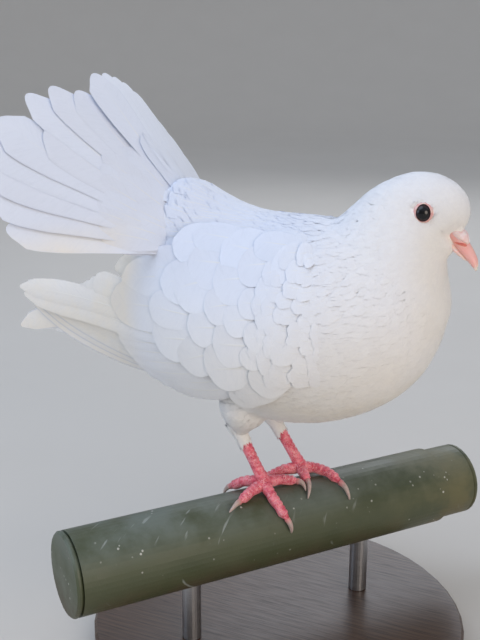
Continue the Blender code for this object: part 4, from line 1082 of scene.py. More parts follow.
def bill_frame():
    """The bill's root before the head is turned, and the ways along the bill and up from it."""
    along = Vector((math.cos(BILL_SLOPE), 0, math.sin(BILL_SLOPE)))
    return mm(BILL_ROOT), along, Vector((-along.z, 0, along.x))


def eye_frame(side):
    """The middle of an eye's opening, and the way it looks."""
    x, y, z = EYE_PLACE
    centre = turned_with_head(mm((x, y * side, z)))
    return centre, Matrix.Rotation(HEAD_TURN, 3, "Z") @ Vector((0.1, side, 0.06)).normalized()


EYES = [eye_frame(-1)[0], eye_frame(1)[0]]


def face_lines(side):
    """The lines where the face folds: from the eye to the corner of the mouth, and behind the eye."""
    x, y, z = EYE_PLACE
    lore = (x + 4.4, y - 0.8, z - 3.4), (x + 11.2, 7.6, z - 10.8), 1.0
    behind = (x - 5.2, y - 0.2, z), (x - 15, y - 0.6, z + 2.4), 0.45
    return [(*(turned_with_head(mm((end[0], side * end[1], end[2]))) for end in ends), deep)
            for *ends, deep in (lore, behind)]


FACE_LINES = face_lines(-1) + face_lines(1)


def lie(point):
    """The way that the feathers point: away from the bill, back along the body, up the tail fan."""
    away = point - BILL_BASE
    reach = away.length / MM
    x, _, z = point / MM
    share = smooth_step(reach, *TURNS_BACK)
    way = away.normalized() * (1 - share) + Vector((-1, 0, -0.10)) * share
    fan = smooth_step(-x, 22, 52) * smooth_step(z, 205, 222)
    if fan > 0:
        up_fan = (point - mm(TAIL_ROOT) + Vector((4, 0, 6)) * MM).normalized()
        way = way.normalized() * (1 - fan) + up_fan * fan
    for leg in LEGS.values():
        hock = mm(leg["hock"])
        line = mm(leg["hip"]) - hock
        t = (point - hock).dot(line) / line.length_squared
        near = (point - hock - line * min(max(t, -0.3), 1.1)).length / MM
        thigh = smooth_step(-z, -142, -131) * smooth_step(-near, -19, -14)
        if thigh > 0:
            way = way.normalized() * (1 - thigh) + (-line.normalized() + Vector((-0.25, 0, 0))) * thigh
    for eye in EYES:
        towards = eye - point
        gap = towards.length / MM
        if gap < PARTS_ROUND_EYE[1]:
            towards.normalize()
            into = max(way.normalized().dot(towards), 0)
            way = way.normalized() - towards * into * (1 - smooth_step(gap, *PARTS_ROUND_EYE)) * 1.1
    return way.normalized()


def groove(point):
    """How much the coat dips along the folds of the face."""
    deepest = 0
    for start, end, deep in FACE_LINES:
        line = end - start
        t = min(max((point - start).dot(line) / line.length_squared, 0), 1)
        gap = (point - start - line * t).length / MM
        deepest = max(deepest, deep * math.exp(-(gap / 0.8) ** 2))
    return deepest


def coat_columns(reaches):
    """Length, half width, spacing and lift of the contour feathers at distances from the bill."""
    knots = [row[0] for row in COAT]
    return [np.interp(reaches, knots, [row[i] for row in COAT]) for i in range(1, 5)]


def in_thigh(points):
    """How far points in millimetres are on a thigh."""
    low = np.clip((146 - points[:, 2]) / 14, 0, 1)
    near = np.zeros(len(points))
    for leg in LEGS.values():
        hock = np.array(leg["hock"])
        line = np.array(leg["hip"]) - hock
        t = np.clip((points - hock) @ line / (line @ line), -0.3, 1.1)
        gap = np.linalg.norm(points - hock - t[:, None] * line, axis=1)
        near = np.maximum(near, np.clip((19 - gap) / 4, 0, 1))
    return low * near


def feather_sizes(points):
    """Sizes at points in millimetres: smaller on the thighs down to their cuffs, larger on the rump."""
    reaches = np.linalg.norm(points - np.array(BILL_BASE / MM), axis=1)
    thigh = in_thigh(points)
    cuff = np.clip((128 - points[:, 2]) / 10, 0, 1)
    rump = np.clip((5 - points[:, 0]) / 20, 0, 1) * np.clip((points[:, 2] - 196) / 10, 0, 1)
    return [size * (1 - thigh) + thigh * (on_thigh - less * cuff) + more * rump
            for size, on_thigh, less, more
            in zip(coat_columns(reaches), THIGH_COAT, SMALLER_AT_CUFFS, LARGER_ON_RUMP)]


def covered_from(height):
    """The x in front of which the breast covers the wing."""
    return np.interp(height, *zip(*WING_FRONT))


def under_wing(points):
    """Where the wings' own feathers cover the skin."""
    x, y, z = points.T
    front = covered_from(z) - 11
    low = np.interp(x, [row[0] for row in WING], [row[1] for row in WING])
    high = np.interp(x, [row[0] for row in WING], [row[2] for row in WING])
    inset = np.interp(x, [-80, 0, 30, 43], [5, 7, 9, 13])
    return (np.abs(y) > 22) & (x < front) & (x > -140) & (z > low + inset) & (z < high - inset)


def crowded(point, gap, cell, cells):
    """Whether a root that was kept before lies nearer than the gap."""
    x, y, z = cell
    reach = int(gap // ROOT_CELL) + 1
    near = (other for i in range(x - reach, x + reach + 1) for j in range(y - reach, y + reach + 1)
            for k in range(z - reach, z + reach + 1) for other in cells.get((i, j, k), ()))
    return any((other[0] - point[0]) ** 2 + (other[1] - point[1]) ** 2
               + (other[2] - point[2]) ** 2 < gap * gap for other in near)


def scatter(mesh):
    """Roots for the contour feathers, in millimetres: evenly apart, at a spacing that follows their size."""
    rng = np.random.default_rng(SEED)
    mesh.calc_loop_triangles()
    corners = np.zeros(len(mesh.loop_triangles) * 3, np.int32)
    mesh.loop_triangles.foreach_get("vertices", corners)
    co = np.zeros(len(mesh.vertices) * 3)
    mesh.vertices.foreach_get("co", co)
    co = co.reshape(-1, 3) / MM
    a, b, c = (co[corners.reshape(-1, 3)[:, i]] for i in range(3))
    area = np.linalg.norm(np.cross(b - a, c - a), axis=1) / 2
    middle = (a + b + c) / 3
    spacing = feather_sizes(middle)[2]
    wanted = ROOTS_TRIED * area / spacing**2
    counts = np.floor(wanted + rng.random(len(wanted))).astype(int)
    chosen = np.repeat(np.arange(len(counts)), counts)
    u, v = rng.random(len(chosen)), rng.random(len(chosen))
    flip = u + v > 1
    u[flip], v[flip] = 1 - u[flip], 1 - v[flip]
    points = a[chosen] + u[:, None] * (b - a)[chosen] + v[:, None] * (c - a)[chosen]
    keep = ~under_wing(points)
    for eye in EYES:
        keep &= np.linalg.norm(points - np.array(eye / MM), axis=1) > ROOT_CLEARING
    points = points[keep]
    points = points[rng.permutation(len(points))]
    gaps = feather_sizes(points)[2] * ROOT_GAP
    cells, kept = {}, []
    for index, (point, gap) in enumerate(zip(points.tolist(), gaps.tolist())):
        cell = tuple(int(value // ROOT_CELL) for value in point)
        if not crowded(point, gap, cell, cells):
            cells.setdefault(cell, []).append(point)
            kept.append(index)
    return points[kept]


def on_neck(point):
    """How far a point is on the neck, where the feathers part in fine streaks."""
    _, _, z = point / MM
    reach = (point - BILL_BASE).length / MM
    return smooth_step(reach, 26, 40) * (1 - smooth_step(reach, 62, 92)) * smooth_step(z, 188, 205)


def on_rump(point):
    """How far a point is up on the back and the rump, where the plumage lies smooth."""
    return smooth_step(-point.x / MM, -26, 8) * smooth_step(point.z / MM, 200, 210)


def surface_of(mesh):
    """A tree over a mesh, and a function for the nearest point on it with the smooth normal there."""
    normals = [v.normal for v in mesh.vertices]
    faces = [tuple(p.vertices) for p in mesh.polygons]
    tree = BVHTree.FromPolygons([v.co for v in mesh.vertices], faces)

    def nearest(place):
        point, _, face, _ = tree.find_nearest(place)
        return point, sum((normals[i] for i in faces[face]), Vector()).normalized()

    return tree, nearest


def contour_feather(nearest, root, length, half, lift):
    """A feather laid along the skin from its root, and the painted shadow of the face fold that it lies in.

    None where the bill, the tail's root or an eye leaves no place for it."""
    bare = bareness(mm(root))
    if bare > 0.75 or on_tail_root(root):
        return None
    point, normal = nearest(mm(root))
    lift *= 1 - 0.5 * bare
    lift *= 0.45 + 0.55 * smooth_step(min((point - eye).length for eye in EYES) / MM, 4.5, 9)
    length *= random.uniform(0.88, 1.12)
    half *= random.uniform(0.9, 1.1)
    lift *= random.uniform(0.96, 1.04)
    fold = groove(point)
    lift -= 0.4 * fold
    rump, neck = on_rump(point), on_neck(point)
    lift *= (1 - 0.78 * rump) * random.uniform(1, 1 + 0.35 * neck)
    half *= 1 - 0.2 * neck
    way = lie(point)
    way = Matrix.Rotation(random.gauss(0, 0.10) * (1 - 0.7 * rump + 0.6 * neck), 3, normal) @ way
    spine, sides, outs = [], [], []
    for step, height in enumerate((-0.15, lift * 0.86, lift * 0.97, lift)):
        way = way - normal * way.dot(normal)
        if way.length < 0.05:
            return None
        way.normalize()
        spine.append(point + normal * height * MM)
        sides.append(normal.cross(way))
        outs.append(normal.copy())
        if step < 3:
            before = point
            point, fresh = nearest(point + way * length * MM / 3)
            normal = (fresh * 2 + normal).normalized()
            way = (point - before).normalized() * 2 + lie(point)
    if any((place - eye).length < EYE_CLEARING * MM for place in spine[1:] for eye in EYES):
        return None
    bend = 60 - 30 * rump  # twice the radius of a vane's curve from edge to edge, tighter on the rump
    crown = max(0.03 * half, half * half / bend) * MM
    # Feathers deep in a fold of the face carry painted shadow.
    return (spine, sides, outs, half * MM, crown), 1.2 * fold if fold > 0.3 else 0


def make_coat(skin, finish):
    """The contour feathers, laid over the skin along its own curves."""
    tree, nearest = surface_of(skin.data)
    roots = scatter(skin.data)
    lengths, halves, _, lifts = feather_sizes(roots)
    random.seed(SEED)
    coat = []
    for root, length, half, lift in zip(roots, lengths, halves, lifts):
        laid = contour_feather(nearest, root, length, half, lift)
        if laid:
            coat.append((*laid, skin_place(mm(root), mm(root))))
    coat.sort(key=lambda laid: laid[0][0][0].x)
    template = vane_template(2, 3, SMALL_OUTLINE, 0.10)
    most = MOST_TRIANGLES // (len(template["faces"]) * 2)
    for number, first in enumerate(range(0, len(coat), most), 1):
        feathers, folds, patches = zip(*coat[first:first + most])
        softness = [0.88 - 0.68 * on_neck(spine[0]) + 0.10 * on_rump(spine[0]) for spine, *_ in feathers]
        # The fold values darken those vanes with painted shadow.
        mesh = vane_mesh("coat", template, feathers, COAT_THICKNESS, softness, patches, tones=folds)
        add_piece(f"contour_feathers_{number}", mesh, finish, "plumage", "torso", "neck", "head")
    return tree


# Wings.


def wing_feather(side, path, half_width, depth, tilt, sunk, lifted):
    """A feather along the wing's face, at a depth below it.

    Its upper edge dips under its neighbour by the tilt, its root lies sunk, and its middle is lifted."""
    a, b, c = (Vector(point) for point in path)
    spine, sides, outs, crowns = [], [], [], []
    for t in THIRDS:
        centre = a * (1 - t) ** 2 + b * 2 * t * (1 - t) + c * t * t
        along = ((b - a) * (1 - t) + (c - b) * t).normalized()
        across = Vector((along.y, -along.x)) * half_width
        if across.y < 0:
            across = -across
        laid = sunk + (depth - sunk) * smooth_step(t, 0, 0.62)
        crest = wing_point(side, *centre, laid - lifted)
        top = wing_point(side, *(centre + across), laid + tilt)
        foot = wing_point(side, *(centre - across), laid - tilt * 0.4)
        chord = (top + foot) / 2
        ahead = wing_point(side, *(centre + along * 2), laid) - wing_point(side, *(centre - along * 2), laid)
        out = ahead.cross(top - foot).normalized()
        if out.y * side < 0:
            out = -out
        spine.append(chord)
        sides.append((top - foot) / (2 * half_width * MM))
        outs.append(out)
        crowns.append((crest - chord).dot(out))
    return spine, sides, outs, half_width * MM, crowns


def through_middle(root, middle, tip):
    """The three points that bend a curve so that it passes through the middle one."""
    return root, tuple(2 * m - (r + t) / 2 for r, m, t in zip(root, middle, tip)), tip


def wing_row(side, rows, tilt, sunk=None, lifted=0.3):
    """Feathers of a graded set, their roots sunk, or as deep as the rest of each feather."""
    return [wing_feather(side, through_middle(*path), half, depth, tilt, depth if sunk is None else sunk,
                         lifted) for *path, half, depth in rows]


def finer(rows, count):
    """More feathers of a graded set, evenly between the first and the last."""
    table = [(i, *root, *middle, *tip, half, depth)
             for i, (root, middle, tip, half, depth) in enumerate(rows)]
    made = []
    for place in np.linspace(0, len(rows) - 1, count):
        *ends, half, depth = table_at(table, place)
        made.append((tuple(ends[0:2]), tuple(ends[2:4]), tuple(ends[4:6]), half, depth))
    return made


def large_covert(side, x, height, length, half_width, depth, rise):
    """A covert or scapular by its tip. Those near the back are longer and lie flatter."""
    flush = smooth_step(height, 194, 208)
    x += random.uniform(-1.4, 1.4) - 3 * flush
    rise += random.uniform(-2, 2)
    half_width *= random.uniform(0.9, 1.1) * (1 + 0.12 * flush)
    length = min(length * (1 + 0.25 * flush), covered_from(height) - x)
    path = (x + length, height + rise * 1.2), (x + length / 2, height + rise), (x, height)
    depth += random.uniform(-0.08, 0.08) * (1 - flush) + 0.12 * flush
    return wing_feather(side, path, half_width, depth, 0.3 - 0.2 * flush, 1.6, 0.3 - 0.14 * flush)


def flesh_depth(tree, side, x, height):
    """How far the skin lies below the wing's face, in millimetres."""
    face, inner = wing_point(side, x, height, -3), wing_point(side, x, height, 5)
    gap = tree.ray_cast(face, (inner - face).normalized(), 30 * MM)[3]
    return 2 if gap is None else gap / MM - 3


def lesser_coverts(tree, side):
    """Small round-ended feathers over the shoulder, in loose rows that grow finer towards its front."""
    made = []
    for row in range(LESSER_ROWS):
        share = row / (LESSER_ROWS - 1)
        middle = 12 + 27 * share
        length = LESSER_LENGTHS[0] - LESSER_LENGTHS[1] * share
        half = LESSER_HALF_WIDTHS[0] - LESSER_HALF_WIDTHS[1] * share
        step = half * LESSER_STEP
        height = 166 + (row % 2) * step / 2
        while height < 222 - 6 * share:
            bulge = ((height - 190) / 30) ** 2
            x = middle - 5.0 * (1 - bulge) + random.uniform(-2.6, 2.6)
            low, high = table_at(WING, min(x + length * 0.4, 42))[:2]
            long = min(length, covered_from(height) - x)
            if low + 3 < height < high - 5 and long > 4:
                fall = (height - 192) * 0.10 + random.uniform(-1.2, 1.2)
                path = ((x + long, height + fall), (x + long / 2, height + fall * 0.5),
                        (x, height + random.uniform(-0.8, 0.8)))
                blend = smooth_step(share, 0.25, 0.95)
                flush = flesh_depth(tree, side, x, height) - 1.25
                lay = random.uniform(-0.85, -0.55) * (1 - blend) + flush * blend
                sunk = max(flesh_depth(tree, side, x + long, height + fall) - 0.2, lay + 0.6)
                half_width = half * random.uniform(0.85, 1.15)
                made.append(wing_feather(side, path, half_width, lay, 0.25, sunk, 0.22))
            height += step * random.uniform(0.85, 1.15)
    return made


def make_wing(label, side, finishes, tree):
    random.seed(SEED + side)
    slot, replaced = "flight_feathers", f"wing_{label}"
    primaries = [PRIMARIES[0], *finer(PRIMARIES[1:], PRIMARY_COUNT), *TOP_PRIMARIES]
    secondaries = finer(SECONDARIES, SECONDARY_COUNT)
    quills = wing_row(side, primaries, 0.7, lifted=0.45) + wing_row(side, secondaries, 0.4, 3.0)
    # Painted shadow along the edges of the first few primaries, fading on the rest.
    edge_shadow_strength = [1 - 0.8 * smooth_step(i, 3, 6) for i in range(len(quills))]
    mesh = vane_mesh("quills", vane_template(6, 12, REMEX_OUTLINE, 0.02), quills, 0.25 * MM, 0.3, None, edge_shadow_strength)
    add_piece(f"flight_feathers_{label}", mesh, finishes["quill"], slot, replaced)
    coverts = wing_row(side, TERTIALS, 0.5, 3.0) + [large_covert(side, *covert) for covert in COVERTS]
    flush = [0.5] * len(TERTIALS) + [smooth_step(covert[1], 194, 208) for covert in COVERTS]
    mesh = vane_mesh("coverts", vane_template(8, 14, COVERT_OUTLINE, 0.0), coverts,
                     [(0.1 - 0.05 * f) * MM for f in flush], [0.75 + 0.2 * f for f in flush])
    add_piece(f"wing_coverts_{label}", mesh, finishes["covert"], slot, replaced)
    small = vane_template(4, 7, COVERT_OUTLINE, 0.0)
    mesh = vane_mesh("lesser", small, lesser_coverts(tree, side), 0.07 * MM, 0.7)
    add_piece(f"lesser_coverts_{label}", mesh, finishes["covert"], slot, replaced)


# Tail.


def rectrix(turn, length, width):
    """A tail feather, its outer edge tilted forwards so that it lies over its outer neighbour."""
    root, along, out = tail_root(turn), tail_direction(turn), tail_normal(turn)
    across = along.cross(out)
    if across.y * math.sin(turn) < 0:
        across = -across
    across = across * math.cos(RECTRIX_TILT) + out * math.sin(RECTRIX_TILT)
    curve = random.uniform(-0.4, 0.6)
    spine = [root + (along * length * t + out * curve * t * t) * MM for t in THIRDS]
    return spine, [across] * 4, [out] * 4, RECTRIX_HALF_WIDTH * width * MM, 0.9 * MM


def rump_feather(tree, place, ahead, reach, lift):
    """A long feather from the back up over the roots of the tail fan, at a place across it."""
    turn = place * TAIL_PAD_SPREAD * 0.62 + random.uniform(-0.03, 0.03)
    root, fan_out = tail_root(turn), tail_normal(turn)
    start, skin_out, _, _ = tree.ray_cast(root + mm((ahead, 6 * place, 60)), -UP)
    height = lift * (1 - 0.65 * abs(place))
    last = root + (tail_direction(turn) * reach * random.uniform(0.85, 1.15) + fan_out * height) * MM
    first = start + skin_out * 0.2 * MM
    spine = [first, first.lerp(last, 1 / 3) + skin_out * 1.6 * MM, first.lerp(last, 2 / 3) + skin_out * MM,
             last]
    way = (last - first).normalized()
    sides = [skin_out.lerp(fan_out, t).normalized().cross(way).normalized() for t in THIRDS]
    outs = [way.cross(side).normalized() for side in sides]
    outs = [out if out.dot(fan_out) > 0 else -out for out in outs]
    return spine, sides, outs, random.uniform(4.0, 5.2) * MM, 0.4 * MM


def tail_covert(place, face, row, start, length, half, lift):
    """A feather of one row on the fan's front or rear face, at a place across it."""
    turn = place * TAIL_PAD_SPREAD * (0.97 - 0.03 * row)
    turn += random.uniform(-0.02, 0.02)
    root, along, out = tail_root(turn), tail_direction(turn), tail_normal(turn) * face
    shorter = 1.0 if face > 0 else 0.85
    long = length * shorter * random.uniform(0.84, 1.12) * (1 - 0.2 * place ** 2)
    puff = lift * (1 - 0.75 * abs(place) ** 3) + random.uniform(0.75, 1.45)
    across = along.cross(out).normalized()
    spine = []
    for t in THIRDS:
        off = puff * (1 - 0.7 * t * t) * (0.75 if face < 0 else 1)
        spine.append(root + (along * (start + long * t) + out * off) * MM)
    return spine, [across] * 4, [out] * 4, half * random.uniform(0.9, 1.1) * MM, 0.8 * MM


def make_tail(finishes, tree):
    random.seed(SEED)
    feathers = [rectrix(math.radians(turn), length, width) for turn, length, width in RECTRICES]
    template = vane_template(8, 20, RECTRIX_OUTLINE, 0.05)
    # The tail feathers carry a strong painted shadow along their edges.
    mesh = vane_mesh("rectrices", template, feathers, 0.25 * MM, 0.5, None, 0.9)
    add_piece("tail_feathers", mesh, finishes["quill"], "flight_feathers", "tail")
    coverts = [tail_covert(place, face, row, *sizes)
               for face in (1, -1) for row, sizes in enumerate(TAIL_COVERTS)
               for place in np.linspace(-1, 1, WIDEST_ROW - row * 2)]
    rump = [rump_feather(tree, place, *sizes) for sizes in RUMP_ROWS
            for place in np.linspace(-RUMP_ROW_REACH, RUMP_ROW_REACH, RUMP_ROW_FEATHERS)]
    mesh = vane_mesh("tail_coverts", vane_template(6, 10, COVERT_OUTLINE, 0.0), coverts + rump, 0.06 * MM,
                     [0.66] * len(coverts) + [0.9] * len(rump))
    add_piece("tail_coverts", mesh, finishes["covert"], "flight_feathers", "tail")


# Head.


def make_eye(label, side, finishes):
    """An eyeball with a raised cornea, and the bare ring of its lids, heavier above and creased."""
    centre, out = eye_frame(side)
    ball = centre - out * EYE_DEPTH * MM
    ahead = UP.cross(out).normalized()
    up = out.cross(ahead)

    def eyeball(round_, along):
        turn, fall = 2 * math.pi * round_, math.pi * along
        bulge = EYE_RADIUS + 0.22 * smooth_step(math.cos(fall), 0.62, 0.95)
        return ball + swung(out, swung(ahead, up, turn), fall) * bulge * MM

    form = closed_form(40, 36, eyeball)
    add_piece(f"eyeball_{label}", form, finishes["eye"], "eye_gloss", f"eye_{label}")

    def lid(round_, along):
        turn = 2 * math.pi * along
        corner = max(math.cos(turn), 0) ** 14 * 0.25 + max(-math.cos(turn), 0) ** 14 * 0.5
        wide, high, low = LID_OPENING
        tall = high if math.sin(turn) > 0 else low
        opening = 1 / math.hypot(math.cos(turn) / wide, math.sin(turn) / tall)
        section = 2 * math.pi * round_
        heavy = 1 + 0.22 * max(math.sin(turn), 0)
        creases = 0.06 * math.sin(LID_CREASES * turn) * max(math.cos(section), 0)
        band = (LID_REACH + corner - opening) / 2
        reach = opening + (band + creases) * (1 + math.cos(section))
        height = math.sqrt(max((EYE_RADIUS + 0.25) ** 2 - min(reach, LID_ON_BALL) ** 2, 0.5))
        height -= 0.9 * max(reach - LID_ON_BALL, 0)
        height += LID_THICKNESS * heavy * math.sin(section)
        return ball + (swung(ahead, up, turn) * reach + out * height) * MM

    form = closed_form(16, 84, lid)
    add_piece(f"eyelids_{label}", form, finishes["lid"], "cere_skin", f"eye_{label}")


def blunted(value, power):
    """A value from -1 to 1, brought nearer to its end."""
    return math.copysign(abs(value) ** power, value)


def bill_part(rows):
    """A half of the bill: round above, flatter along the cutting edge."""
    root, along, up = bill_frame()
    reach = rows[-1][0] - rows[0][0]

    def place(round_, way):
        distance = rows[0][0] + reach * min(way, 1)
        upper, lower, half_width = table_at(rows, distance)
        turn = 2 * math.pi * round_
        x, y = blunted(math.cos(turn), 0.85), -blunted(math.sin(turn), 0.9)
        pinch = 1 - 0.16 * smooth_step(-y, 0.1, 1)
        middle, half = (upper + lower) / 2, (upper - lower) / 2
        point = root + along * distance * MM + up * (middle - y * half) * MM
        return turned_with_head(point + Vector((0, x * half_width * pinch, 0)) * MM)

    return closed_form(36, 40, place)


def make_cere(finish):
    """The two soft swellings over the root of the bill, with a cleft between them."""
    root, along, up = bill_frame()
    reach = CERE[-1][0] - CERE[0][0]

    def cere(round_, way):
        distance = CERE[0][0] + reach * way
        top, bottom, half_width, bulge = table_at(CERE, distance)
        turn = 2 * math.pi * round_
        x, y = math.cos(turn), -math.sin(turn)
        swell = bulge * math.exp(-((abs(x) - 0.62) / 0.3) ** 2) * smooth_step(y, 0.0, 0.6)
        cleft = 0.5 * math.exp(-(x / 0.16) ** 2) * smooth_step(y, 0.3, 0.9)
        middle, half = (top + bottom) / 2, (top - bottom) / 2
        point = root + along * distance * MM + up * (middle + (half + swell - cleft) * y) * MM
        return turned_with_head(point + Vector((0, x * (half_width + 0.25 * swell), 0)) * MM)

    add_piece("bill_cere", closed_form(40, 24, cere), finish, "cere_skin", "cere")


def make_nostril(label, side, finish):
    """The slit of a nostril, a thin spindle along the cere's lower edge."""
    root, along, up = bill_frame()
    c, s = math.cos(NOSTRIL_RISE), math.sin(NOSTRIL_RISE)

    def slit(round_, way):
        turn, fall = 2 * math.pi * round_, math.pi * way
        length = -math.cos(fall) * NOSTRIL_HALF_LENGTH
        deep = math.sin(fall) * math.cos(turn) * NOSTRIL_DEPTH
        high = math.sin(fall) * math.sin(turn) * (NOSTRIL_HALF_HEIGHT + 0.3 * length / NOSTRIL_HALF_LENGTH)
        spot = Vector((NOSTRIL[0] + c * length - s * high, side * (NOSTRIL[1] - 0.16 * (length + 1) + deep),
                       NOSTRIL[2] + s * length + c * high))
        return turned_with_head(root + (along * spot.x + Vector((0, spot.y, 0)) + up * spot.z) * MM)

    add_piece(f"nostril_{label}", closed_form(16, 14, slit), finish, "cere_skin", "cere")


def make_bill(finishes):
    add_piece("bill_top", bill_part(UPPER_BILL), finishes["bill"], "bill_horn", "bill_upper")
    add_piece("bill_under", bill_part(LOWER_BILL), finishes["under"], "bill_horn", "bill_lower")
    make_cere(finishes["cere"])
    for label, side in SIDES:
        make_nostril(label, side, finishes["nostril"])


# Legs.


def plate(share):
    """The lift of a scute along its own length: a quick rise, then a drop at its free end."""
    return smooth_step(share, 0.0, 0.55) * (1 - smooth_step(share, 0.88, 1.0))


def frame_along(table, where, step, top):
    """The ways up and sideways at a place along a curve, up being as near to the top as it can."""
    ahead = (Vector(table_at(table, where + step)) - Vector(table_at(table, where - step))).normalized()
    up = (top - ahead * top.dot(ahead)).normalized()
    return up, ahead.cross(up)


def scaled_limb(path, radii, top, count, pads=0, lift=0.42, rounded=True):
    """A limb with raised plates along its top and soft pads below, its ends closed."""
    radius_table = [(i, radius) for i, radius in enumerate(radii)]
    path_table = [(i, *point) for i, point in enumerate(path)]
    last, last_radius = len(path) - 1, len(radii) - 1
    rng = random.Random(count + SEED)
    lean = [rng.uniform(-0.2, 0.2) for _ in range(count + 2)]

    def place(round_, along):
        where = min(max(along, 0), 1)
        point = Vector(table_at(path_table, where * last))
        up, side = frame_along(path_table, where * last, 0.05, top)
        angle = 2 * math.pi * round_
        c, s = math.cos(angle), math.sin(angle)
        radius = table_at(radius_table, where * last_radius)[0]
        over = smooth_step(c, 0.0, 0.45)
        scute = where * count + 0.10 * s * s
        index = int(scute)
        share = scute - index
        raised = plate(share) * over * (1 + lean[min(index, count)])
        edge = over * (smooth_step(share, 0.80, 0.90) * (1 - smooth_step(share, 0.96, 1.0)))
        under = smooth_step(-c, 0.1, 0.8)
        pad = under * (0.5 - 0.5 * math.cos(2 * math.pi * where * pads)) ** 0.7 if pads else 0.0
        size = radius + (raised * lift + pad * 0.55)
        if rounded:
            size *= 1 - TOE_END[1] * smooth_step(where, TOE_END[0], 1.0)
        return point + (up * c + side * s) * size * MM, (edge, pad)

    return closed_form(26, count * SCUTE_ROWS, place, ("plate_edge", "pad"))


def make_shank(label, finish):
    leg = LEGS[label]
    hub, hock = rail_point(*leg["hub"]), mm(leg["hock"])
    path = [hub.lerp(hock, t) for t in (0, 0.35, 0.7, 1.04)]
    shank = scaled_limb(path, SHANK_RADII, Vector((1, 0, 0.2)), SHANK_SCUTES, lift=0.36, rounded=False)
    add_piece(f"scaled_shank_{label}", shank, finish, "leg_scales", f"shank_{label}")


def make_foot_ball(label, finish):
    turn_round_rail, along_rail, height = LEGS[label]["hub"]
    hub = rail_point(turn_round_rail, along_rail, height)
    top = rail_point(turn_round_rail, along_rail, height + 5) - hub
    flat = top.orthogonal().normalized()
    other = flat.cross(top.normalized())

    def ball(round_, along):
        turn, fall = 2 * math.pi * round_, math.pi * along
        knobs = 0.22 * math.sin(5 * turn) * math.sin(4 * fall)
        way = top.normalized() * math.cos(fall) * 0.86 + swung(flat, other, turn) * math.sin(fall)
        marks = 0.2 * max(knobs, 0), smooth_step(along, 0.5, 0.8)
        return hub + way * (FOOT_BALL_RADIUS + knobs) * MM, marks

    form = closed_form(30, 20, ball, ("plate_edge", "pad"))
    add_piece(f"foot_ball_{label}", form, finish, "leg_scales", f"shank_{label}")


def make_claw(name, places, top, finishes):
    path = [(i, *rail_point(*place)) for i, place in enumerate(spread(places, 9))]
    radii = [(i, radius) for i, radius in enumerate(CLAW_RADII)]

    def claw(round_, along):
        up, side = frame_along(path, along * 8, 0.1, top)
        radius = table_at(radii, along * 3)[0]
        turn = 2 * math.pi * round_
        narrow = 0.78 + 0.12 * math.cos(turn)
        hollow = 0.14 * radius * smooth_step(-math.cos(turn), 0.7, 1.0)
        out = up * math.cos(turn) * (radius - hollow) + side * math.sin(turn) * radius * narrow
        return Vector(table_at(path, along * 8)) + out * MM

    add_piece(f"claw_sheath_{name}", closed_form(16, 24, claw), finishes["claw"], "claw_horn", f"claw_{name}")


def make_toe(name, root, places, finishes):
    path = [rail_point(*place) for place in spread((root, *places[:3]), 9)]
    length = sum((b - a).length for a, b in zip(path, path[1:]))
    middle = path[len(path) // 2]
    top = (middle - rail_axis((middle - rail_axis(0)).dot(RAIL_ALONG))).normalized()
    scutes = max(5, round(length / (TOE_SCUTE * MM)))
    pads = max(2, round(length / (TOE_PAD * MM)))
    toe = scaled_limb(path, TOE_RADII, top, scutes, pads)
    add_piece(f"scaled_toe_{name}", toe, finishes["leg"], "leg_scales", f"toe_{name}")
    make_claw(name, places[2:], top, finishes)


def make_leg(label, finishes):
    make_shank(label, finishes["leg"])
    make_foot_ball(label, finishes["leg"])
    for digit, places in TOES[label].items():
        make_toe(f"{digit}_{label}", TOE_ROOTS[label], places, finishes)


def cuff_feather(hock, down, ring, turn, out):
    """A small feather on the outside of the shank's top, and its place on the unwrapped skin."""
    behind = smooth_step(-out.x, -0.6, 0.8)
    start = ring * (CUFF_STEP[0] + CUFF_STEP[1] * behind) + CUFF_START + random.uniform(-0.5, 0.5)
    long = random.uniform(4.6, 6.6)
    lift = random.uniform(0.1, 0.6)
    spine = []
    for t in THIRDS:
        wide = CUFF_RADIUS + CUFF_SPREAD * max(1.5 - start - long * t, 0) + (lift + 0.4 - 0.4 * t) * t
        spine.append(hock + down * (start + long * t) * MM + out * wide * MM)
    feather = spine, [down.cross(out)] * 4, [out] * 4, random.uniform(0.65, 1.05) * MM, 0.12 * MM
    return feather, (0.05 + 0.5 * turn / 7, 0.4 + ring * 0.01)


def make_cuffs(finishes):
    """Small feathers over the top of each shank, pointing down it."""
    template = vane_template(2, 3, HACKLE_OUTLINE, 0.08)
    for label, side in SIDES:
        hub, hock = rail_point(*LEGS[label]["hub"]), mm(LEGS[label]["hock"])
        down = (hub - hock).normalized()
        first = down.orthogonal().normalized()
        second = down.cross(first)
        random.seed(SEED + side)
        cuff = []
        for ring in range(CUFF_RINGS):
            for i in range(CUFF_FEATHERS):
                turn = 2 * math.pi * (i + 0.5 * (ring % 2)) / CUFF_FEATHERS + random.uniform(-0.1, 0.1)
                cuff.append(cuff_feather(hock, down, ring, turn, swung(first, second, turn)))
        feathers, patches = zip(*cuff)
        mesh = vane_mesh("cuff", template, feathers, 0.07 * MM, 0.7, patches)
        add_piece(f"shank_cuff_{label}", mesh, finishes["down"], "plumage", f"thigh_{label}")


# The rail, the stand and the studio.


def dress_stand(finishes):
    """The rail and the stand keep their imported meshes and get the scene's materials."""
    for name, finish in (("perch_rail", "rail"), ("perch_spigot", "rail"), ("perch_cap_near", "rail"),
                         ("perch_cap_far", "rail"), ("stand_rod_near", "rod"), ("stand_rod_far", "rod"),
                         ("stand_base", "wood")):
        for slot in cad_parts[name].material_slots:
            slot.material = finishes[finish]


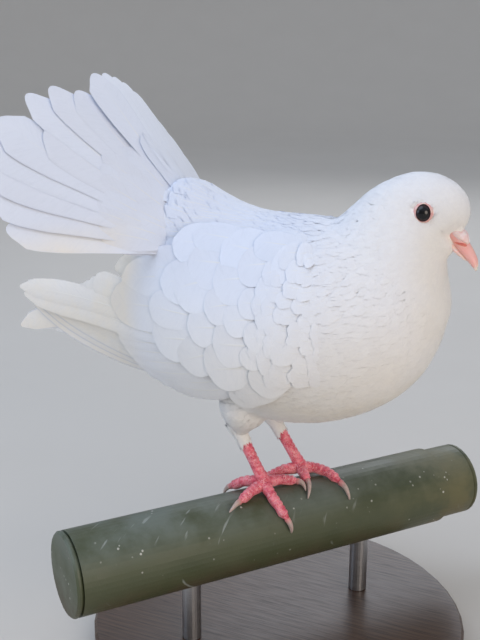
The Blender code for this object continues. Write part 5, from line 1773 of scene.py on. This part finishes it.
def make_floor(finish):
    """A pale floor that sweeps up into a wall all round."""
    bm = bmesh.new()
    steps = [(0.02, 0)] + [(0.6 * i, 0) for i in range(1, 5)]
    steps += [(2.4 + 1.2 * math.sin(a), 1.2 * (1 - math.cos(a))) for a in np.linspace(0.15, math.pi / 2, 9)]
    steps.append((3.6, 2.4))
    verts = [bm.verts.new((x, 0, z)) for x, z in steps]
    edges = [bm.edges.new(pair) for pair in zip(verts, verts[1:])]
    bmesh.ops.spin(bm, geom=verts + edges, cent=(0, 0, 0), axis=(0, 0, 1), angle=2 * math.pi, steps=64,
                   use_merge=True)
    bmesh.ops.holes_fill(bm, edges=[e for e in bm.edges if e.is_boundary and e.verts[0].co.z < 0.01])
    bmesh.ops.recalc_face_normals(bm, faces=bm.faces)
    bmesh.ops.reverse_faces(bm, faces=bm.faces)
    mesh = new_mesh(bm, "floor")
    mesh.materials.append(finish)
    floor = bpy.data.objects.new("studio_floor", mesh)
    bpy.context.scene.collection.objects.link(floor)


def area_light(name, place, size, power, colour):
    light = bpy.data.lights.new(name, "AREA")
    light.shape = "DISK"
    light.size = size
    light.energy = power
    light.color = colour
    lamp = bpy.data.objects.new(name, light)
    lamp.location = place
    lamp.rotation_euler = (Vector(place) - LIGHTS_AIM).to_track_quat("Z", "Y").to_euler()
    bpy.context.scene.collection.objects.link(lamp)


def make_studio(floor_finish):
    make_floor(floor_finish)
    for light in LIGHTS:
        area_light(*light)
    world = bpy.data.worlds.new("studio_air")
    bpy.context.scene.world = world
    bpy.context.scene.view_settings.view_transform = "Standard"
    world.use_nodes = True
    air = world.node_tree.nodes["Background"]
    air.inputs["Color"].default_value = (0.77, 0.85, 1.0, 1)
    air.inputs["Strength"].default_value = 0.65


def make_camera():
    """At the height and turn that show the right side a little from the front and above."""
    level = Vector((math.cos(CAMERA_TURN), math.sin(CAMERA_TURN), 0))
    back = Vector((math.sin(CAMERA_TURN) * math.cos(CAMERA_RISE),
                   -math.cos(CAMERA_TURN) * math.cos(CAMERA_RISE), math.sin(CAMERA_RISE)))
    upright = back.cross(level)
    right, up = swung(level, upright, CAMERA_ROLL), swung(upright, -level, CAMERA_ROLL)
    lens = bpy.data.cameras.new("studio_camera")
    lens.lens = CAMERA_LENS
    lens.sensor_width = 36
    lens.clip_start = 0.02
    camera = bpy.data.objects.new("studio_camera", lens)
    pose = Matrix((right, up, back)).transposed().to_4x4()
    pose.translation = mm(CAMERA_PLACE)
    camera.matrix_world = pose
    bpy.context.scene.collection.objects.link(camera)
    bpy.context.scene.camera = camera


def make_bird():
    make_camera()
    finishes = make_finishes()
    make_studio(finishes["floor"])
    skin = make_skin(finishes["skin"])
    tree = make_coat(skin, finishes["down"])
    make_cuffs(finishes)
    for label, side in SIDES:
        make_eye(label, side, finishes)
        make_wing(label, side, finishes, tree)
        make_leg(label, finishes)
    make_bill(finishes)
    make_tail(finishes, tree)
    dress_stand(finishes)


make_bird()
bpy.context.view_layer.update()
